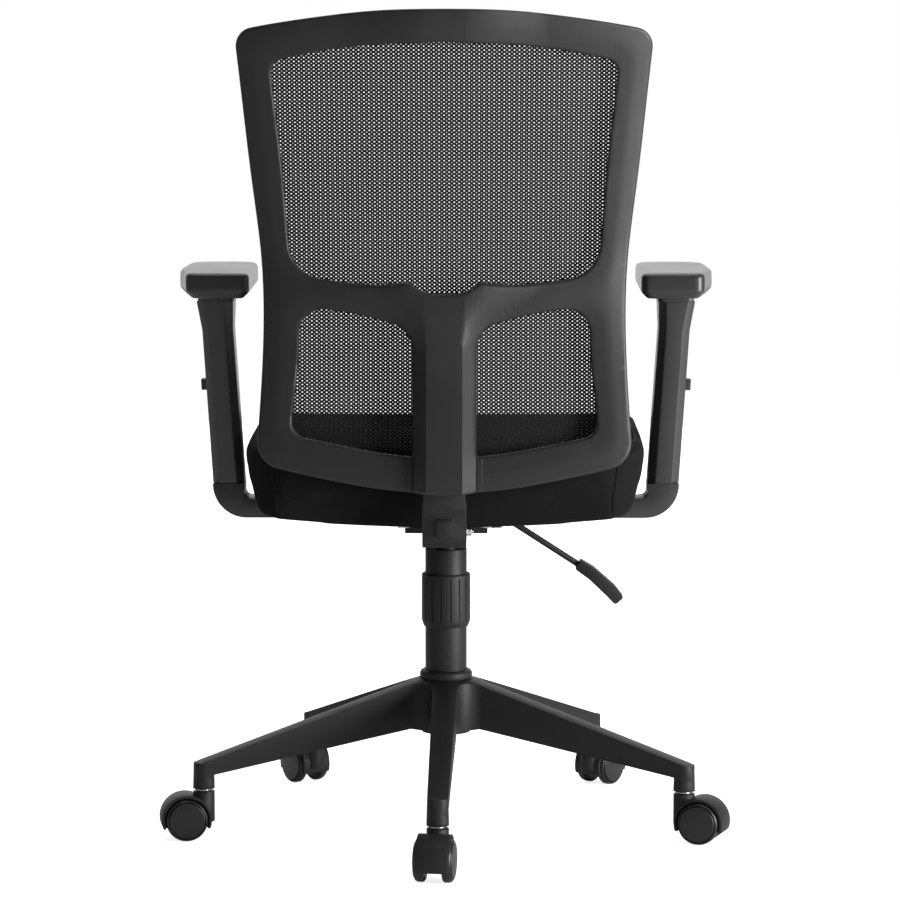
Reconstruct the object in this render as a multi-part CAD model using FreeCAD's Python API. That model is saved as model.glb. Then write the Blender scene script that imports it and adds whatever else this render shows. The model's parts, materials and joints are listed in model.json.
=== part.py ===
import FreeCAD, Part
import math
import os

# Swivel office chair with a mesh back. Millimetres, +Z up, the sitter faces -Y.
# The origin lies on the floor, under the axis of the gas column.

# ---- base star ----
leg_count = 5
leg_pitch = 360.0 / leg_count
first_leg_angle = 88.7
pivot_radius = 300.0
leg_root_half_width = 14.8
leg_tip_half_width = 12.0
leg_valley_radius = 23.0
leg_top_root = (31.0, 180.0)
leg_top_tip = (300.0, 93.5)
leg_under_root = (50.0, 121.0)
leg_under_tip = (288.0, 78.0)
leg_end_radius = 312.0
leg_wall = 4.5
rib_radii = [64.0, 112.0, 162.0, 212.0, 272.0]
rib_thickness = 3.0
hub_bottom = 114.0
hub_ring_radius = 29.0
hub_top = leg_top_root[1]
tip_boss_radius = 13.0
tip_boss_bottom = 60.5
socket_radius = 7.0
socket_top = 89.0

# ---- casters ----
wheel_radius = 25.0
wheel_inner_face = 10.5
wheel_outer_face = 22.8
wheel_disc_radius = 21.3
caster_trail = 22.0
caster_turns = [-7.0, 0.0, 0.0, 0.0, -7.0]
hood_inner_radius = 26.6
hood_outer_radius = 29.6
hood_half_width = 18.8
hood_web_half = 9.8
hood_bottom = 15.0
hood_front_angle = -25.0
neck_radius = 12.8
neck_top = 57.0
stem_radius = 5.5
stem_bottom = 34.0
axle_radius = 4.0
axle_half_length = 19.0

# ---- fits ----
running_fit = 0.06
clear = 0.3

# ---- gas column ----
tube_radius = 25.0
tube_bore = 22.5
tube_bottom = 116.0
tube_top = 337.0
tube_floor = 5.0
bush_length = 65.0
cylinder_radius = 14.0
cylinder_bottom = 152.0
cylinder_bore = 11.5
cylinder_bore_top = 302.0
rod_radius = 5.0
piston_bottom = 284.0
piston_thickness = 10.0
collar_radius = 31.5
collar_height = 10.0
sleeve_bottom = 243.0
sleeve_top = 307.0
sleeve_radius = 29.3
sleeve_grooves = 16

# ---- tilt mechanism ----
socket_block_radius = 22.0
socket_block_bottom = 341.0
socket_block_top = 363.0
housing_half_width = 50.0
housing_waist_half = 24.0
housing_waist_front = -28.0
housing_front = -122.0
housing_rear = 34.0
housing_bottom = 351.0
housing_top = 376.0
housing_wall = 2.5
pin_radius = 4.0
pin_top = 366.8
tilt_axle_y = -45.0
tilt_axle_z = 366.0
tilt_axle_radius = 5.0
spring_radius = 10.5
knob_y = -92.0
knob_radius = 21.0
knob_bottom = 318.0
knob_top = 345.0
plate_bottom = 381.0
plate_top = 385.0
plate_half_width = 62.0
plate_front = -128.0
plate_rear = 132.0

# ---- lever on the sitter's right ----
lever_pivot_x = -60.0
lever_barrel_radius = 6.2
lever_ear_y = 9.0
lever_z = 371.0
lever_rod_radius = 3.75
lever_bend_x = -76.0
lever_low_x = -161.0
lever_low_z = 317.5
lever_tip_x = -214.5
lever_tip_z = 279.5

# ---- seat ----
seat_half_width = 237.0
seat_rear = 192.0
seat_front = -284.0
seat_centre_bottom = 385.0
seat_edge_rise = 14.0
seat_rise_at = 220.0
seat_top_edge = 478.0
seat_top_centre = 471.0
pan_thickness = 10.0
pan_inset = 38.0
seat_foot_half_width = 214.0
seat_foot_radius = 34.0

# ---- back ----
frame_thickness = 20.0
back_wrap_low = 1500.0
back_wrap_high = 650.0
back_wrap_heights = (480.0, 720.0)
crest_z = 980.0
spine_half_width = 36.8
spine_face_half_width = 20.7
spine_depth = 16.0
spine_bottom = 429.0
mesh_thickness = 1.6
mesh_inset = 7.0
bracket_half_width = 25.3
bracket_bottom = 366.0
bracket_rear = 230.0
bracket_thickness = 15.0
tongue_half_width = 24.0
tongue_top = 505.0

# ---- arms ----
arm_lean = 3.74
arm_foot_x = 260.0
arm_part_z = 418.0
arm_half_width = 18.5
arm_half_depth = 28.0
arm_chamfer = 8.5
arm_wall = 4.0
arm_post_top = 598.0
arm_sleeve_top = 637.0
arm_bracket_bottom = 377.0
pad_plate_top = 645.5
pad_top = 675.0
pad_inner_x = 228.0
pad_outer_x = 317.0
pad_rear_outer_x = 301.0
pad_rear = 125.0
pad_front = -120.0
button_z = 537.0
button_height = 13.5
button_depth = 22.0
button_proud = 6.5


def vec(x, y, z):
    return FreeCAD.Vector(x, y, z)


up = vec(0, 0, 1)
origin = vec(0, 0, 0)


def save(name, shape):
    shape.exportStep("parts/" + name + ".step")


def flat_xy(z):
    return lambda u, v: vec(u, v, z)


def flat_xz(y):
    return lambda u, v: vec(u, y, v)


def flat_yz(x):
    return lambda u, v: vec(x, u, v)


def rod(radius, start, end):
    axis = end - start
    return Part.makeCylinder(radius, axis.Length, start, axis)


def ring(outer, inner, bottom, top):
    outside = Part.makeCylinder(outer, top - bottom, vec(0, 0, bottom))
    inside = Part.makeCylinder(inner, top - bottom, vec(0, 0, bottom))
    return outside.cut(inside)


def block(x0, x1, y0, y1, z0, z1):
    return Part.makeBox(x1 - x0, y1 - y0, z1 - z0, vec(x0, y0, z0))


def turned(profile):
    """Solid of revolution about Z from (radius, height) corners."""
    points = [vec(radius, 0, height) for radius, height in profile]
    face = Part.Face(Part.makePolygon(points + points[:1]))
    return face.revolve(origin, up, 360)


def rounded_outline(corners, place):
    """Closed wire of straight sides. Each corner is (u, v, radius)."""
    count = len(corners)
    arcs = []
    for i in range(count):
        u, v, radius = corners[i]
        here = place(u, v)
        way_back = (place(*corners[i - 1][:2]) - here).normalize()
        way_on = (place(*corners[(i + 1) % count][:2]) - here).normalize()
        half_angle = way_back.getAngle(way_on) / 2
        reach = radius / math.tan(half_angle)
        middle_reach = radius / math.sin(half_angle) - radius
        middle = here + (way_back + way_on).normalize() * middle_reach
        arcs.append((here + way_back * reach, middle, here + way_on * reach, radius))
    edges = []
    for i in range(count):
        start, middle, end, radius = arcs[i]
        next_start = arcs[(i + 1) % count][0]
        if radius > 0:
            edges.append(Part.Arc(start, middle, end).toShape())
        if (next_start - end).Length > 1e-6:
            edges.append(Part.makeLine(end, next_start))
    return Part.Wire(edges)


def rounded_prism(corners, place, along):
    return Part.Face(rounded_outline(corners, place)).extrude(along)


def spline(points):
    curve = Part.BSplineCurve()
    curve.interpolate(points)
    return curve.toShape()


def mirrored(shape):
    return shape.mirror(origin, vec(1, 0, 0))


def upright_edges(solid, x, z, reach=1.0):
    """Edges that run along Y at the corner (x, z) of an outline."""
    found = []
    for edge in solid.Edges:
        box = edge.BoundBox
        centred = abs(box.Center.x - x) < reach and abs(box.Center.z - z) < reach
        if centred and box.XLength < 0.1 and box.ZLength < 0.1:
            found.append(edge)
    return found


# ---------------------------------------------------------------- base star

def line_height(start, end, radius):
    share = (radius - start[0]) / (end[0] - start[0])
    return start[1] + share * (end[1] - start[1])


def star_plan():
    """Outline of the five legs seen from above, with concave webs between them."""
    valley = leg_root_half_width / math.sin(math.radians(leg_pitch / 2))
    corners = []
    for i in range(leg_count):
        angle = math.radians(first_leg_angle + i * leg_pitch)
        before = angle - math.radians(leg_pitch / 2)
        corners.append((valley * math.cos(before), valley * math.sin(before), leg_valley_radius))
        for side in (-1, 1):
            out = leg_end_radius
            across = side * leg_tip_half_width
            x = out * math.cos(angle) - across * math.sin(angle)
            y = out * math.sin(angle) + across * math.cos(angle)
            corners.append((x, y, leg_tip_half_width - 1.5))
    return corners


def leg_pocket(start, end):
    """Moulding pocket under a leg that points along +X, between two cross ribs."""
    half = leg_root_half_width - leg_wall - 2.0
    if end > 220:
        half = leg_tip_half_width - leg_wall
    roof_start = line_height(leg_top_root, leg_top_tip, start) - leg_wall
    roof_end = line_height(leg_top_root, leg_top_tip, end) - leg_wall
    corners = [(start, 50, 0), (start, roof_start, 0), (end, roof_end, 0), (end, 50, 0)]
    return rounded_prism(corners, flat_xz(-half), vec(0, 2 * half, 0))


def base_star():
    prism = rounded_prism(star_plan(), flat_xy(0), vec(0, 0, 200))
    outside = line_height(leg_top_root, leg_top_tip, leg_end_radius + 2)
    side = turned([
        (0, hub_bottom), (hub_ring_radius, hub_bottom), (hub_ring_radius, hub_bottom + 3),
        leg_under_root, leg_under_tip, (leg_end_radius + 2, leg_under_tip[1] - 4),
        (leg_end_radius + 2, outside), leg_top_root, (0, hub_top)])
    star = prism.common(side)
    boss_top = line_height(leg_top_root, leg_top_tip, pivot_radius) - 2
    for i in range(leg_count):
        angle = first_leg_angle + i * leg_pitch
        boss = Part.makeCone(tip_boss_radius, tip_boss_radius - 0.8, boss_top - tip_boss_bottom,
                             vec(pivot_radius, 0, tip_boss_bottom))
        bore = Part.makeCylinder(socket_radius, socket_top - tip_boss_bottom,
                                 vec(pivot_radius, 0, tip_boss_bottom))
        boss.rotate(origin, up, angle)
        bore.rotate(origin, up, angle)
        star = star.fuse(boss).cut(bore)
        for start, end in zip(rib_radii, rib_radii[1:]):
            pocket = leg_pocket(start + rib_thickness, end)
            pocket.rotate(origin, up, angle)
            star = star.cut(pocket)
    bore = Part.makeCylinder(tube_radius, 200, vec(0, 0, 0))
    return star.cut(bore).removeSplitter()


def at_pivots(shape):
    """Five copies of a shape that is drawn about its own caster pivot."""
    copies = []
    for i in range(leg_count):
        copies.append(at_caster(shape, i))
    return Part.makeCompound(copies)


def caster_sockets():
    return at_pivots(ring(socket_radius, stem_radius, tip_boss_bottom, socket_top))


def caster_stems():
    stem = Part.makeCylinder(stem_radius, socket_top - 2 - stem_bottom, vec(0, 0, stem_bottom))
    flange = Part.makeCylinder(stem_radius + 3, 2.6, vec(0, 0, neck_top + 0.5))
    return at_pivots(stem.fuse(flange))


# ---------------------------------------------------------------- casters
# A caster is drawn about its pivot, trailing towards +X, with its wheel axis along Y.

def at_caster(shape, index):
    angle = first_leg_angle + index * leg_pitch
    placed = shape.copy()
    placed.rotate(origin, up, angle + caster_turns[index])
    pivot = vec(math.cos(math.radians(angle)), math.sin(math.radians(angle)), 0) * pivot_radius
    placed.translate(pivot)
    return placed


def drum(outer, half_length):
    """Cylinder on the wheel axis of a caster."""
    start = vec(caster_trail, -half_length, wheel_radius)
    return Part.makeCylinder(outer, 2 * half_length, start, vec(0, 1, 0))


def hood():
    fender = drum(hood_outer_radius, hood_half_width).cut(drum(hood_inner_radius, hood_half_width))
    lower_front = rounded_prism(
        [(caster_trail, wheel_radius, 0), (caster_trail + 60, wheel_radius, 0),
         (caster_trail + 60, wheel_radius - 60, 0), (caster_trail, wheel_radius - 60, 0)],
        flat_xz(-40), vec(0, 80, 0))
    lower_front.rotate(vec(caster_trail, 0, wheel_radius), vec(0, 1, 0), -hood_front_angle)
    fender = fender.cut(lower_front)
    web = drum(hood_inner_radius + 0.5, hood_web_half)
    neck = Part.makeCylinder(neck_radius, neck_top - hood_bottom - 6, vec(0, 0, hood_bottom + 6))
    body = fender.fuse([web, neck])
    body = body.cut(block(-60, 80, -40, 40, -20, hood_bottom))
    wheel_space = drum(hood_inner_radius, 60).cut(drum(hood_inner_radius + 1, hood_web_half))
    body = body.cut(wheel_space)
    stem_bore = Part.makeCylinder(stem_radius + running_fit, 60, vec(0, 0, stem_bottom - 1))
    return body.cut(stem_bore).cut(drum(axle_radius, 60)).removeSplitter()


def caster_axle():
    return drum(axle_radius, axle_half_length)


def wheel(side):
    """One wheel: rounded tread, shallow groove, then a flat disc that stands a little proud."""
    tread = wheel_radius
    disc = wheel_disc_radius
    inner = wheel_inner_face
    outer = wheel_outer_face
    bore = axle_radius + running_fit
    body = turned([
        (bore, inner), (tread - 1.5, inner), (tread, inner + 2), (tread, outer - 5.5),
        (tread - 0.6, outer - 3), (tread - 1.8, outer - 1.5), (disc + 0.9, outer - 1.2),
        (disc + 0.9, outer - 3.0), (disc, outer - 3.0), (disc, outer - 0.8), (disc - 0.8, outer),
        (0, outer), (0, axle_half_length + 1), (bore, axle_half_length + 1)])
    body.rotate(origin, vec(1, 0, 0), -90 if side > 0 else 90)
    body.translate(vec(caster_trail, 0, wheel_radius))
    return body


# ---------------------------------------------------------------- gas column

def column_tube():
    tube = ring(tube_radius, tube_bore, tube_bottom, tube_top)
    floor = ring(tube_bore, rod_radius + running_fit, tube_bottom, tube_bottom + tube_floor)
    return tube.fuse(floor).removeSplitter()


def column_bush():
    return ring(tube_bore, cylinder_radius + running_fit, tube_top - bush_length, tube_top - 1)


def base_collar():
    return turned([
        (tube_radius, hub_top), (collar_radius, hub_top), (collar_radius, hub_top + 6.5),
        (collar_radius - 1.5, hub_top + collar_height - 1.2),
        (collar_radius - 3.5, hub_top + collar_height), (tube_radius, hub_top + collar_height)])


def dust_sleeve():
    sleeve = turned([
        (tube_radius + running_fit, sleeve_bottom), (sleeve_radius - 2.6, sleeve_bottom),
        (sleeve_radius - 0.4, sleeve_bottom + 6), (sleeve_radius, sleeve_bottom + 9),
        (sleeve_radius, sleeve_top - 1.5), (sleeve_radius - 1.2, sleeve_top),
        (tube_radius + running_fit, sleeve_top)])
    for i in range(sleeve_grooves):
        groove = block(sleeve_radius - 1.1, sleeve_radius + 2, -0.9, 0.9,
                       sleeve_bottom + 7, sleeve_top - 5)
        groove.rotate(origin, up, (i + 0.5) * 360.0 / sleeve_grooves)
        sleeve = sleeve.cut(groove)
    return sleeve


def piston_rod():
    bottom = tube_bottom - 4
    stem = Part.makeCylinder(rod_radius, piston_bottom - bottom, vec(0, 0, bottom))
    piston = Part.makeCylinder(cylinder_bore - running_fit, piston_thickness,
                               vec(0, 0, piston_bottom))
    return stem.fuse(piston).removeSplitter()


def thrust_bearing():
    bottom = tube_bottom + tube_floor + running_fit
    return turned([
        (rod_radius, bottom), (12, bottom), (12, bottom + 2), (11, bottom + 2.4),
        (11, bottom + 4.6), (12, bottom + 5), (12, bottom + 7), (rod_radius, bottom + 7)])


def rod_clip():
    top = tube_bottom - running_fit
    return ring(9, rod_radius, top - 2, top)


def gas_cylinder():
    body = turned([
        (rod_radius + running_fit, cylinder_bottom), (cylinder_radius - 1.5, cylinder_bottom),
        (cylinder_radius, cylinder_bottom + 1.5), (cylinder_radius, socket_block_bottom),
        (cylinder_radius - 0.8, socket_block_top), (0, socket_block_top), (0, cylinder_bore_top),
        (cylinder_bore, cylinder_bore_top), (cylinder_bore, cylinder_bottom + 12),
        (rod_radius + running_fit, cylinder_bottom + 12)])
    pin_bore = Part.makeCylinder(pin_radius + running_fit, 20, vec(0, 0, socket_block_top - 14))
    return body.cut(pin_bore)


def release_pin():
    bottom = socket_block_top - 10
    return Part.makeCylinder(pin_radius, pin_top - bottom, vec(0, 0, bottom))


# ---------------------------------------------------------------- mechanism

def mech_housing():
    """Shallow pressed pan with the tapered socket for the gas cylinder and the lever cradle."""
    half = housing_half_width
    wall = housing_wall
    front = housing_front
    rear = housing_rear
    low = housing_bottom
    outside = [(front, low + 8, 0), (front + 14, low, 0), (rear - 22, low, 0), (rear, low + 9, 0),
               (rear, low + 13, 0), (tilt_axle_y + 14, housing_top, 0), (front, housing_top, 0)]
    inside = [(front + wall, low + 10, 0), (front + 15, low + wall, 0), (rear - 23, low + wall, 0),
              (rear - wall, low + 11, 0), (rear - wall, low + 60, 0), (front + wall, low + 60, 0)]
    pan = rounded_prism(outside, flat_yz(-half), vec(2 * half, 0, 0))
    hollow = rounded_prism(inside, flat_yz(-half + wall), vec(2 * (half - wall), 0, 0))
    waist = housing_waist_half
    step = housing_waist_front
    beside = block(waist, half + 5, step, rear + 5, low - 5, housing_top + 5)
    pan = pan.cut(beside).cut(mirrored(beside))
    beside = block(waist - wall, half + 5, step - wall, rear + 5, low - 5, low + 65)
    hollow = hollow.cut(beside).cut(mirrored(beside))
    socket = Part.makeCylinder(socket_block_radius, socket_block_top - socket_block_bottom,
                               vec(0, 0, socket_block_bottom))
    body = pan.cut(hollow).fuse(socket)
    for near in (lever_ear_y, -lever_ear_y - 3):
        body = body.fuse(block(lever_pivot_x - 7, -waist + 1, near, near + 3,
                               lever_z - 8, lever_z + 5))
    body = body.cut(block(-waist - 1, -waist + wall + 1, -6, 6, lever_z - 9, housing_top + 5))
    taper = turned([
        (0, socket_block_bottom), (cylinder_radius, socket_block_bottom),
        (cylinder_radius - 0.8, socket_block_top), (0, socket_block_top)])
    axle_hole = rod(tilt_axle_radius, vec(-70, tilt_axle_y, tilt_axle_z),
                    vec(70, tilt_axle_y, tilt_axle_z))
    trunnion = rod(2.5 + running_fit, vec(lever_pivot_x, -20, lever_z),
                   vec(lever_pivot_x, 20, lever_z))
    bolt_hole = Part.makeCylinder(4, 40, vec(0, knob_y, housing_bottom - 10))
    stop_hole = rod(3, vec(-waist - 5, rear - 14, low + 9), vec(-waist + 10, rear - 14, low + 9))
    return body.cut(taper).cut(axle_hole).cut(trunnion).cut(bolt_hole).cut(stop_hole)


def tilt_axle():
    half = plate_half_width + 1.5
    axle = rod(tilt_axle_radius, vec(-half, tilt_axle_y, tilt_axle_z),
               vec(half, tilt_axle_y, tilt_axle_z))
    return axle


def tilt_spring():
    """Two close-wound torsion packs on the tilt axle, drawn as stacked wire turns."""
    wire = 3.5
    turns = 7
    packs = []
    for side in (-1, 1):
        rings = []
        for i in range(turns):
            centre = vec(side * (14 + wire * (i + 0.5)), tilt_axle_y, tilt_axle_z)
            rings.append(Part.makeTorus(spring_radius - wire / 2, wire / 2, centre, vec(1, 0, 0)))
        start = vec(side * 14, tilt_axle_y, tilt_axle_z)
        end = vec(side * (14 + wire * turns), tilt_axle_y, tilt_axle_z)
        core = rod(spring_radius - wire / 2, start, end).cut(rod(tilt_axle_radius + 1, start, end))
        packs.append(core.fuse(rings).removeSplitter())
    return Part.makeCompound(packs)


def tension_bolt():
    shank = Part.makeCylinder(4, 30, vec(0, knob_y, knob_top - 8))
    washer = Part.makeCylinder(9, 2, vec(0, knob_y, knob_top + 2))
    return shank.fuse(washer)


def tension_knob():
    """Round knob with eight finger lobes, turning on the tension bolt."""
    knob = Part.makeCone(knob_radius - 2, knob_radius, knob_top - knob_bottom,
                         vec(0, knob_y, knob_bottom))
    lobes = 8
    for i in range(lobes):
        angle = math.radians(i * 360.0 / lobes)
        place = vec(math.cos(angle), math.sin(angle), 0) * (knob_radius + 2.5)
        scoop = Part.makeCylinder(5, knob_top - knob_bottom, place + vec(0, knob_y, knob_bottom))
        knob = knob.cut(scoop)
    return knob.cut(Part.makeCylinder(4, 8, vec(0, knob_y, knob_top - 8)))


def stop_bolt():
    """Tilt stop bolt in the rear of the right-hand wall, with its nut and washer."""
    y = housing_rear - 14
    z = housing_bottom + 9
    wall = -housing_waist_half
    shank = rod(3, vec(wall - 9, y, z), vec(wall + 8, y, z))
    washer = rod(6.5, vec(wall - 1.5, y, z), vec(wall, y, z))
    nut = hexagon(10, 5, vec(wall - 1.5, y, z), vec(-1, 0, 0))
    return shank.fuse([washer, nut])


def hexagon(across_flats, height, start, axis):
    corner = across_flats / math.sqrt(3)
    points = []
    for i in range(7):
        angle = math.radians(60 * i)
        points.append(vec(corner * math.cos(angle), corner * math.sin(angle), 0))
    head = Part.Face(Part.makePolygon(points)).extrude(vec(0, 0, height))
    head.Placement = FreeCAD.Placement(start, FreeCAD.Rotation(up, axis))
    return head


def tilt_plate():
    """Top plate under the seat, with a window over the socket and two ears on the tilt axle."""
    half = plate_half_width
    corners = [(-half, plate_front, 12), (half, plate_front, 12), (half, plate_rear, 12),
               (-half, plate_rear, 12)]
    plate = rounded_prism(corners, flat_xy(plate_bottom), vec(0, 0, plate_top - plate_bottom))
    plate = plate.cut(block(-38, 38, -30, 36, plate_bottom - 1, plate_top + 1))
    plate = plate.cut(block(-half - 1, -30, -15, 15, plate_bottom - 1, plate_top + 1))
    ears = []
    for side in (-1, 1):
        outline = [(tilt_axle_y - 16, plate_top, 0), (tilt_axle_y - 12, tilt_axle_z - 10, 8),
                   (tilt_axle_y + 12, tilt_axle_z - 10, 8), (tilt_axle_y + 16, plate_top, 0)]
        start = side * 57.0 - 1.5
        ears.append(rounded_prism(outline, flat_yz(start), vec(3, 0, 0)))
    plate = plate.fuse(ears)
    hole = rod(tilt_axle_radius + running_fit, vec(-90, tilt_axle_y, tilt_axle_z),
               vec(90, tilt_axle_y, tilt_axle_z))
    plate = plate.cut(hole)
    for x, y in seat_bolt_places() + bracket_bolt_places():
        plate = plate.cut(Part.makeCylinder(4, 20, vec(x, y, plate_bottom - 5)))
    return plate.removeSplitter()


def seat_bolt_places():
    return [(-48.0, -108.0), (48.0, -108.0), (-48.0, 108.0), (48.0, 108.0)]


def bracket_bolt_places():
    return [(-17.0, 62.0), (17.0, 62.0), (-17.0, 112.0), (17.0, 112.0)]


def bolt_up(x, y, head_top, tip_z):
    """Hexagon bolt driven upwards, its head under the clamped piece."""
    head = hexagon(13, 5, vec(x, y, head_top - 5), up)
    return head.fuse(Part.makeCylinder(4, tip_z - head_top + 1, vec(x, y, head_top - 1)))


def underseat_bolts():
    bolts = []
    for x, y in seat_bolt_places():
        bolts.append(bolt_up(x, y, plate_bottom, plate_top + pan_thickness - 1))
    for x, y in bracket_bolt_places():
        bolts.append(bolt_up(x, y, bracket_bottom, plate_top + pan_thickness - 1))
    return Part.makeCompound(bolts)


# ---------------------------------------------------------------- lever

def lever_pivot():
    """Barrel that rocks between the cradle ears and lets the rod slide through it."""
    barrel = rod(lever_barrel_radius, vec(lever_pivot_x, -8.6, lever_z),
                 vec(lever_pivot_x, 8.6, lever_z))
    pins = rod(2.5, vec(lever_pivot_x, -13, lever_z), vec(lever_pivot_x, 13, lever_z))
    hole = rod(lever_rod_radius + running_fit, vec(lever_pivot_x - 20, 0, lever_z),
               vec(lever_pivot_x + 20, 0, lever_z))
    return barrel.fuse(pins).cut(hole).removeSplitter()


def lever_rod():
    """Steel wire: straight through the barrel, then bent down to the handle."""
    start = vec(6, 0, lever_z)
    corner = vec(lever_bend_x, 0, lever_z)
    end = vec(lever_low_x - 12, 0, lever_low_z - 9)
    bend_radius = 14.0
    way_in = (start - corner).normalize()
    way_out = (end - corner).normalize()
    half_angle = way_in.getAngle(way_out) / 2
    reach = bend_radius / math.tan(half_angle)
    middle_reach = bend_radius / math.sin(half_angle) - bend_radius
    first = corner + way_in * reach
    last = corner + way_out * reach
    middle = corner + (way_in + way_out).normalize() * middle_reach
    path = Part.Wire([Part.makeLine(start, first), Part.Arc(first, middle, last).toShape(),
                      Part.makeLine(last, end)])
    section = Part.Wire(Part.makeCircle(lever_rod_radius, start, way_in))
    return path.makePipeShell([section], True, False)


def lever_handle():
    """Curved flat paddle moulded round the end of the rod."""
    start = vec(lever_low_x, 0, lever_low_z)
    tip = vec(lever_tip_x, 0, lever_tip_z)
    along = (tip - start).normalize()
    over = vec(-along.z, 0, along.x)
    if over.z < 0:
        over = over * -1
    length = (tip - start).Length

    def place(u, v):
        return start + along * u + over * v

    outline = [(-2, 5.5, 2), (16, 7.0, 12), (length - 16, 3.5, 30), (length, -1.5, 2.5),
               (length - 3, -14.5, 4), (length - 18, -11.5, 20), (20, -7.5, 20), (-2, -7.0, 2)]
    body = rounded_prism(outline, place, vec(0, 24, 0))
    body.translate(vec(0, -12, 0))
    end = vec(lever_low_x - 12, 0, lever_low_z - 9)
    corner = vec(lever_bend_x, 0, lever_z)
    return body.cut(rod(lever_rod_radius, corner, end))


# ---------------------------------------------------------------- seat

def seat_plan(inset):
    """Plan of the seat: nearly square, with the front a little wider than the rear."""
    half = seat_half_width - inset
    rear = seat_rear - inset
    front = seat_front + inset
    corner = 72 - inset
    return [(-half + 6, rear, corner), (half - 6, rear, corner), (half, -40, 300),
            (half - 2, front, corner + 14), (-half + 2, front, corner + 14), (-half, -40, 300)]


def crowned_slab(bottom_lift, top_edge, top_centre):
    """Slab along Y between the crowned underside of the seat and a dished top."""
    reach = 260.0
    rise = seat_edge_rise * (reach / seat_rise_at) ** 2
    low = seat_centre_bottom + bottom_lift
    under = Part.Arc(vec(-reach, -400, low + rise), vec(0, -400, low),
                     vec(reach, -400, low + rise)).toShape()
    right = Part.makeLine(vec(reach, -400, low + rise), vec(reach, -400, top_edge))
    over = Part.Arc(vec(reach, -400, top_edge), vec(0, -400, top_centre),
                    vec(-reach, -400, top_edge)).toShape()
    left = Part.makeLine(vec(-reach, -400, top_edge), vec(-reach, -400, low + rise))
    return Part.Face(Part.Wire([under, right, over, left])).extrude(vec(0, 800, 0))


def seat_pan():
    """Curved plywood pan inside the upholstery."""
    reach = 260.0
    rise = seat_edge_rise * (reach / seat_rise_at) ** 2
    top = seat_centre_bottom + pan_thickness
    slab = crowned_slab(0, top + rise, top)
    plan = rounded_prism(seat_plan(pan_inset), flat_xy(300), vec(0, 0, 300))
    pan = slab.common(plan)
    for x, y in seat_bolt_places() + bracket_bolt_places():
        pan = pan.cut(Part.makeCylinder(4, 40, vec(x, y, plate_bottom - 5)))
    for x, y in arm_bolt_places():
        pan = pan.cut(Part.makeCylinder(4, 60, vec(x, y, arm_bracket_bottom - 5)))
        pan = pan.cut(Part.makeCylinder(4, 60, vec(-x, y, arm_bracket_bottom - 5)))
    return pan


def seat_cushion():
    """Foam cushion in its cover, wrapped round the edge of the pan, waterfall front."""
    slab = crowned_slab(0, seat_top_edge, seat_top_centre)
    plan = rounded_prism(seat_plan(0), flat_xy(300), vec(0, 0, 300))
    front = seat_front
    rear = seat_rear
    side = [(rear - 12, 360, 0), (rear - 10, 384, 24), (rear + 1, 470, 30), (rear - 4, 490, 0),
            (front + 60, seat_top_edge + 10, 90), (front - 4, seat_top_edge - 34, 30),
            (front + 6, 398, 30), (front + 60, 370, 0)]
    profile = rounded_prism(side, flat_yz(-400), vec(800, 0, 0))
    half = seat_half_width
    foot = seat_foot_half_width
    foot_z = seat_centre_bottom + 6
    section = [(-half - 1, 500, 0), (-half - 1, seat_top_edge + 2, 12),
               (-foot, foot_z, seat_foot_radius), (0, foot_z - 15, 0),
               (foot, foot_z, seat_foot_radius), (half + 1, seat_top_edge + 2, 12),
               (half + 1, 500, 0)]
    across = rounded_prism(section, flat_xz(-400), vec(0, 800, 0))
    body = slab.common(plan).common(profile).common(across)
    reach = 260.0
    rise = seat_edge_rise * (reach / seat_rise_at) ** 2
    top = seat_centre_bottom + pan_thickness
    pan_plan = rounded_prism(seat_plan(pan_inset), flat_xy(300), vec(0, 0, 300))
    return body.cut(crowned_slab(-2, top + rise, top).common(pan_plan))


# ---------------------------------------------------------------- back

def side_profile():
    """Front surface of the back at its centre line: (height, y)."""
    return [(400.0, 214.0), (435.0, 210.0), (500.0, 203.0), (560.0, 198.0), (620.0, 199.0),
            (700.0, 208.0), (800.0, 228.0), (900.0, 254.0), (1000.0, 286.0)]


def centre_line():
    curve = Part.BSplineCurve()
    curve.interpolate([vec(0, y, z) for z, y in side_profile()])
    return curve


def front_y(z):
    """Y of the front surface on the centre line, at height z."""
    level = Part.Plane(vec(0, 0, z), up)
    return centre_line().intersectCS(level)[0][0].Y


def wrap_radius(z):
    """Plan radius of the back at height z: nearly flat beside the seat, rounder above."""
    low, high = back_wrap_heights
    share = min(1.0, max(0.0, (z - low) / (high - low)))
    return back_wrap_low + share * (back_wrap_high - back_wrap_low)


def back_slab(offset, thickness):
    """Double-curved slab: leans with the side profile and wraps forward at both sides."""
    rows = []
    for z in (410, 450, 500, 560, 620, 700, 800, 900, 990):
        y = front_y(z) + offset
        rows.append([vec(x, y - x * x / (2 * wrap_radius(z)), z)
                     for x in (-250, -190, -125, -60, 0, 60, 125, 190, 250)])
    surface = Part.BSplineSurface()
    surface.interpolate(rows)
    return surface.toShape().extrude(vec(0, thickness, 0))


def outline_prism(edges, mirror_edges=True):
    """Prism along Y from half an outline and its mirror image, or from a closed outline."""
    both = list(edges)
    if mirror_edges:
        both = both + [mirrored(edge) for edge in edges]
    wire = Part.Wire(Part.__sortEdges__(both))
    return Part.Face(wire).extrude(vec(0, 400, 0))


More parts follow.
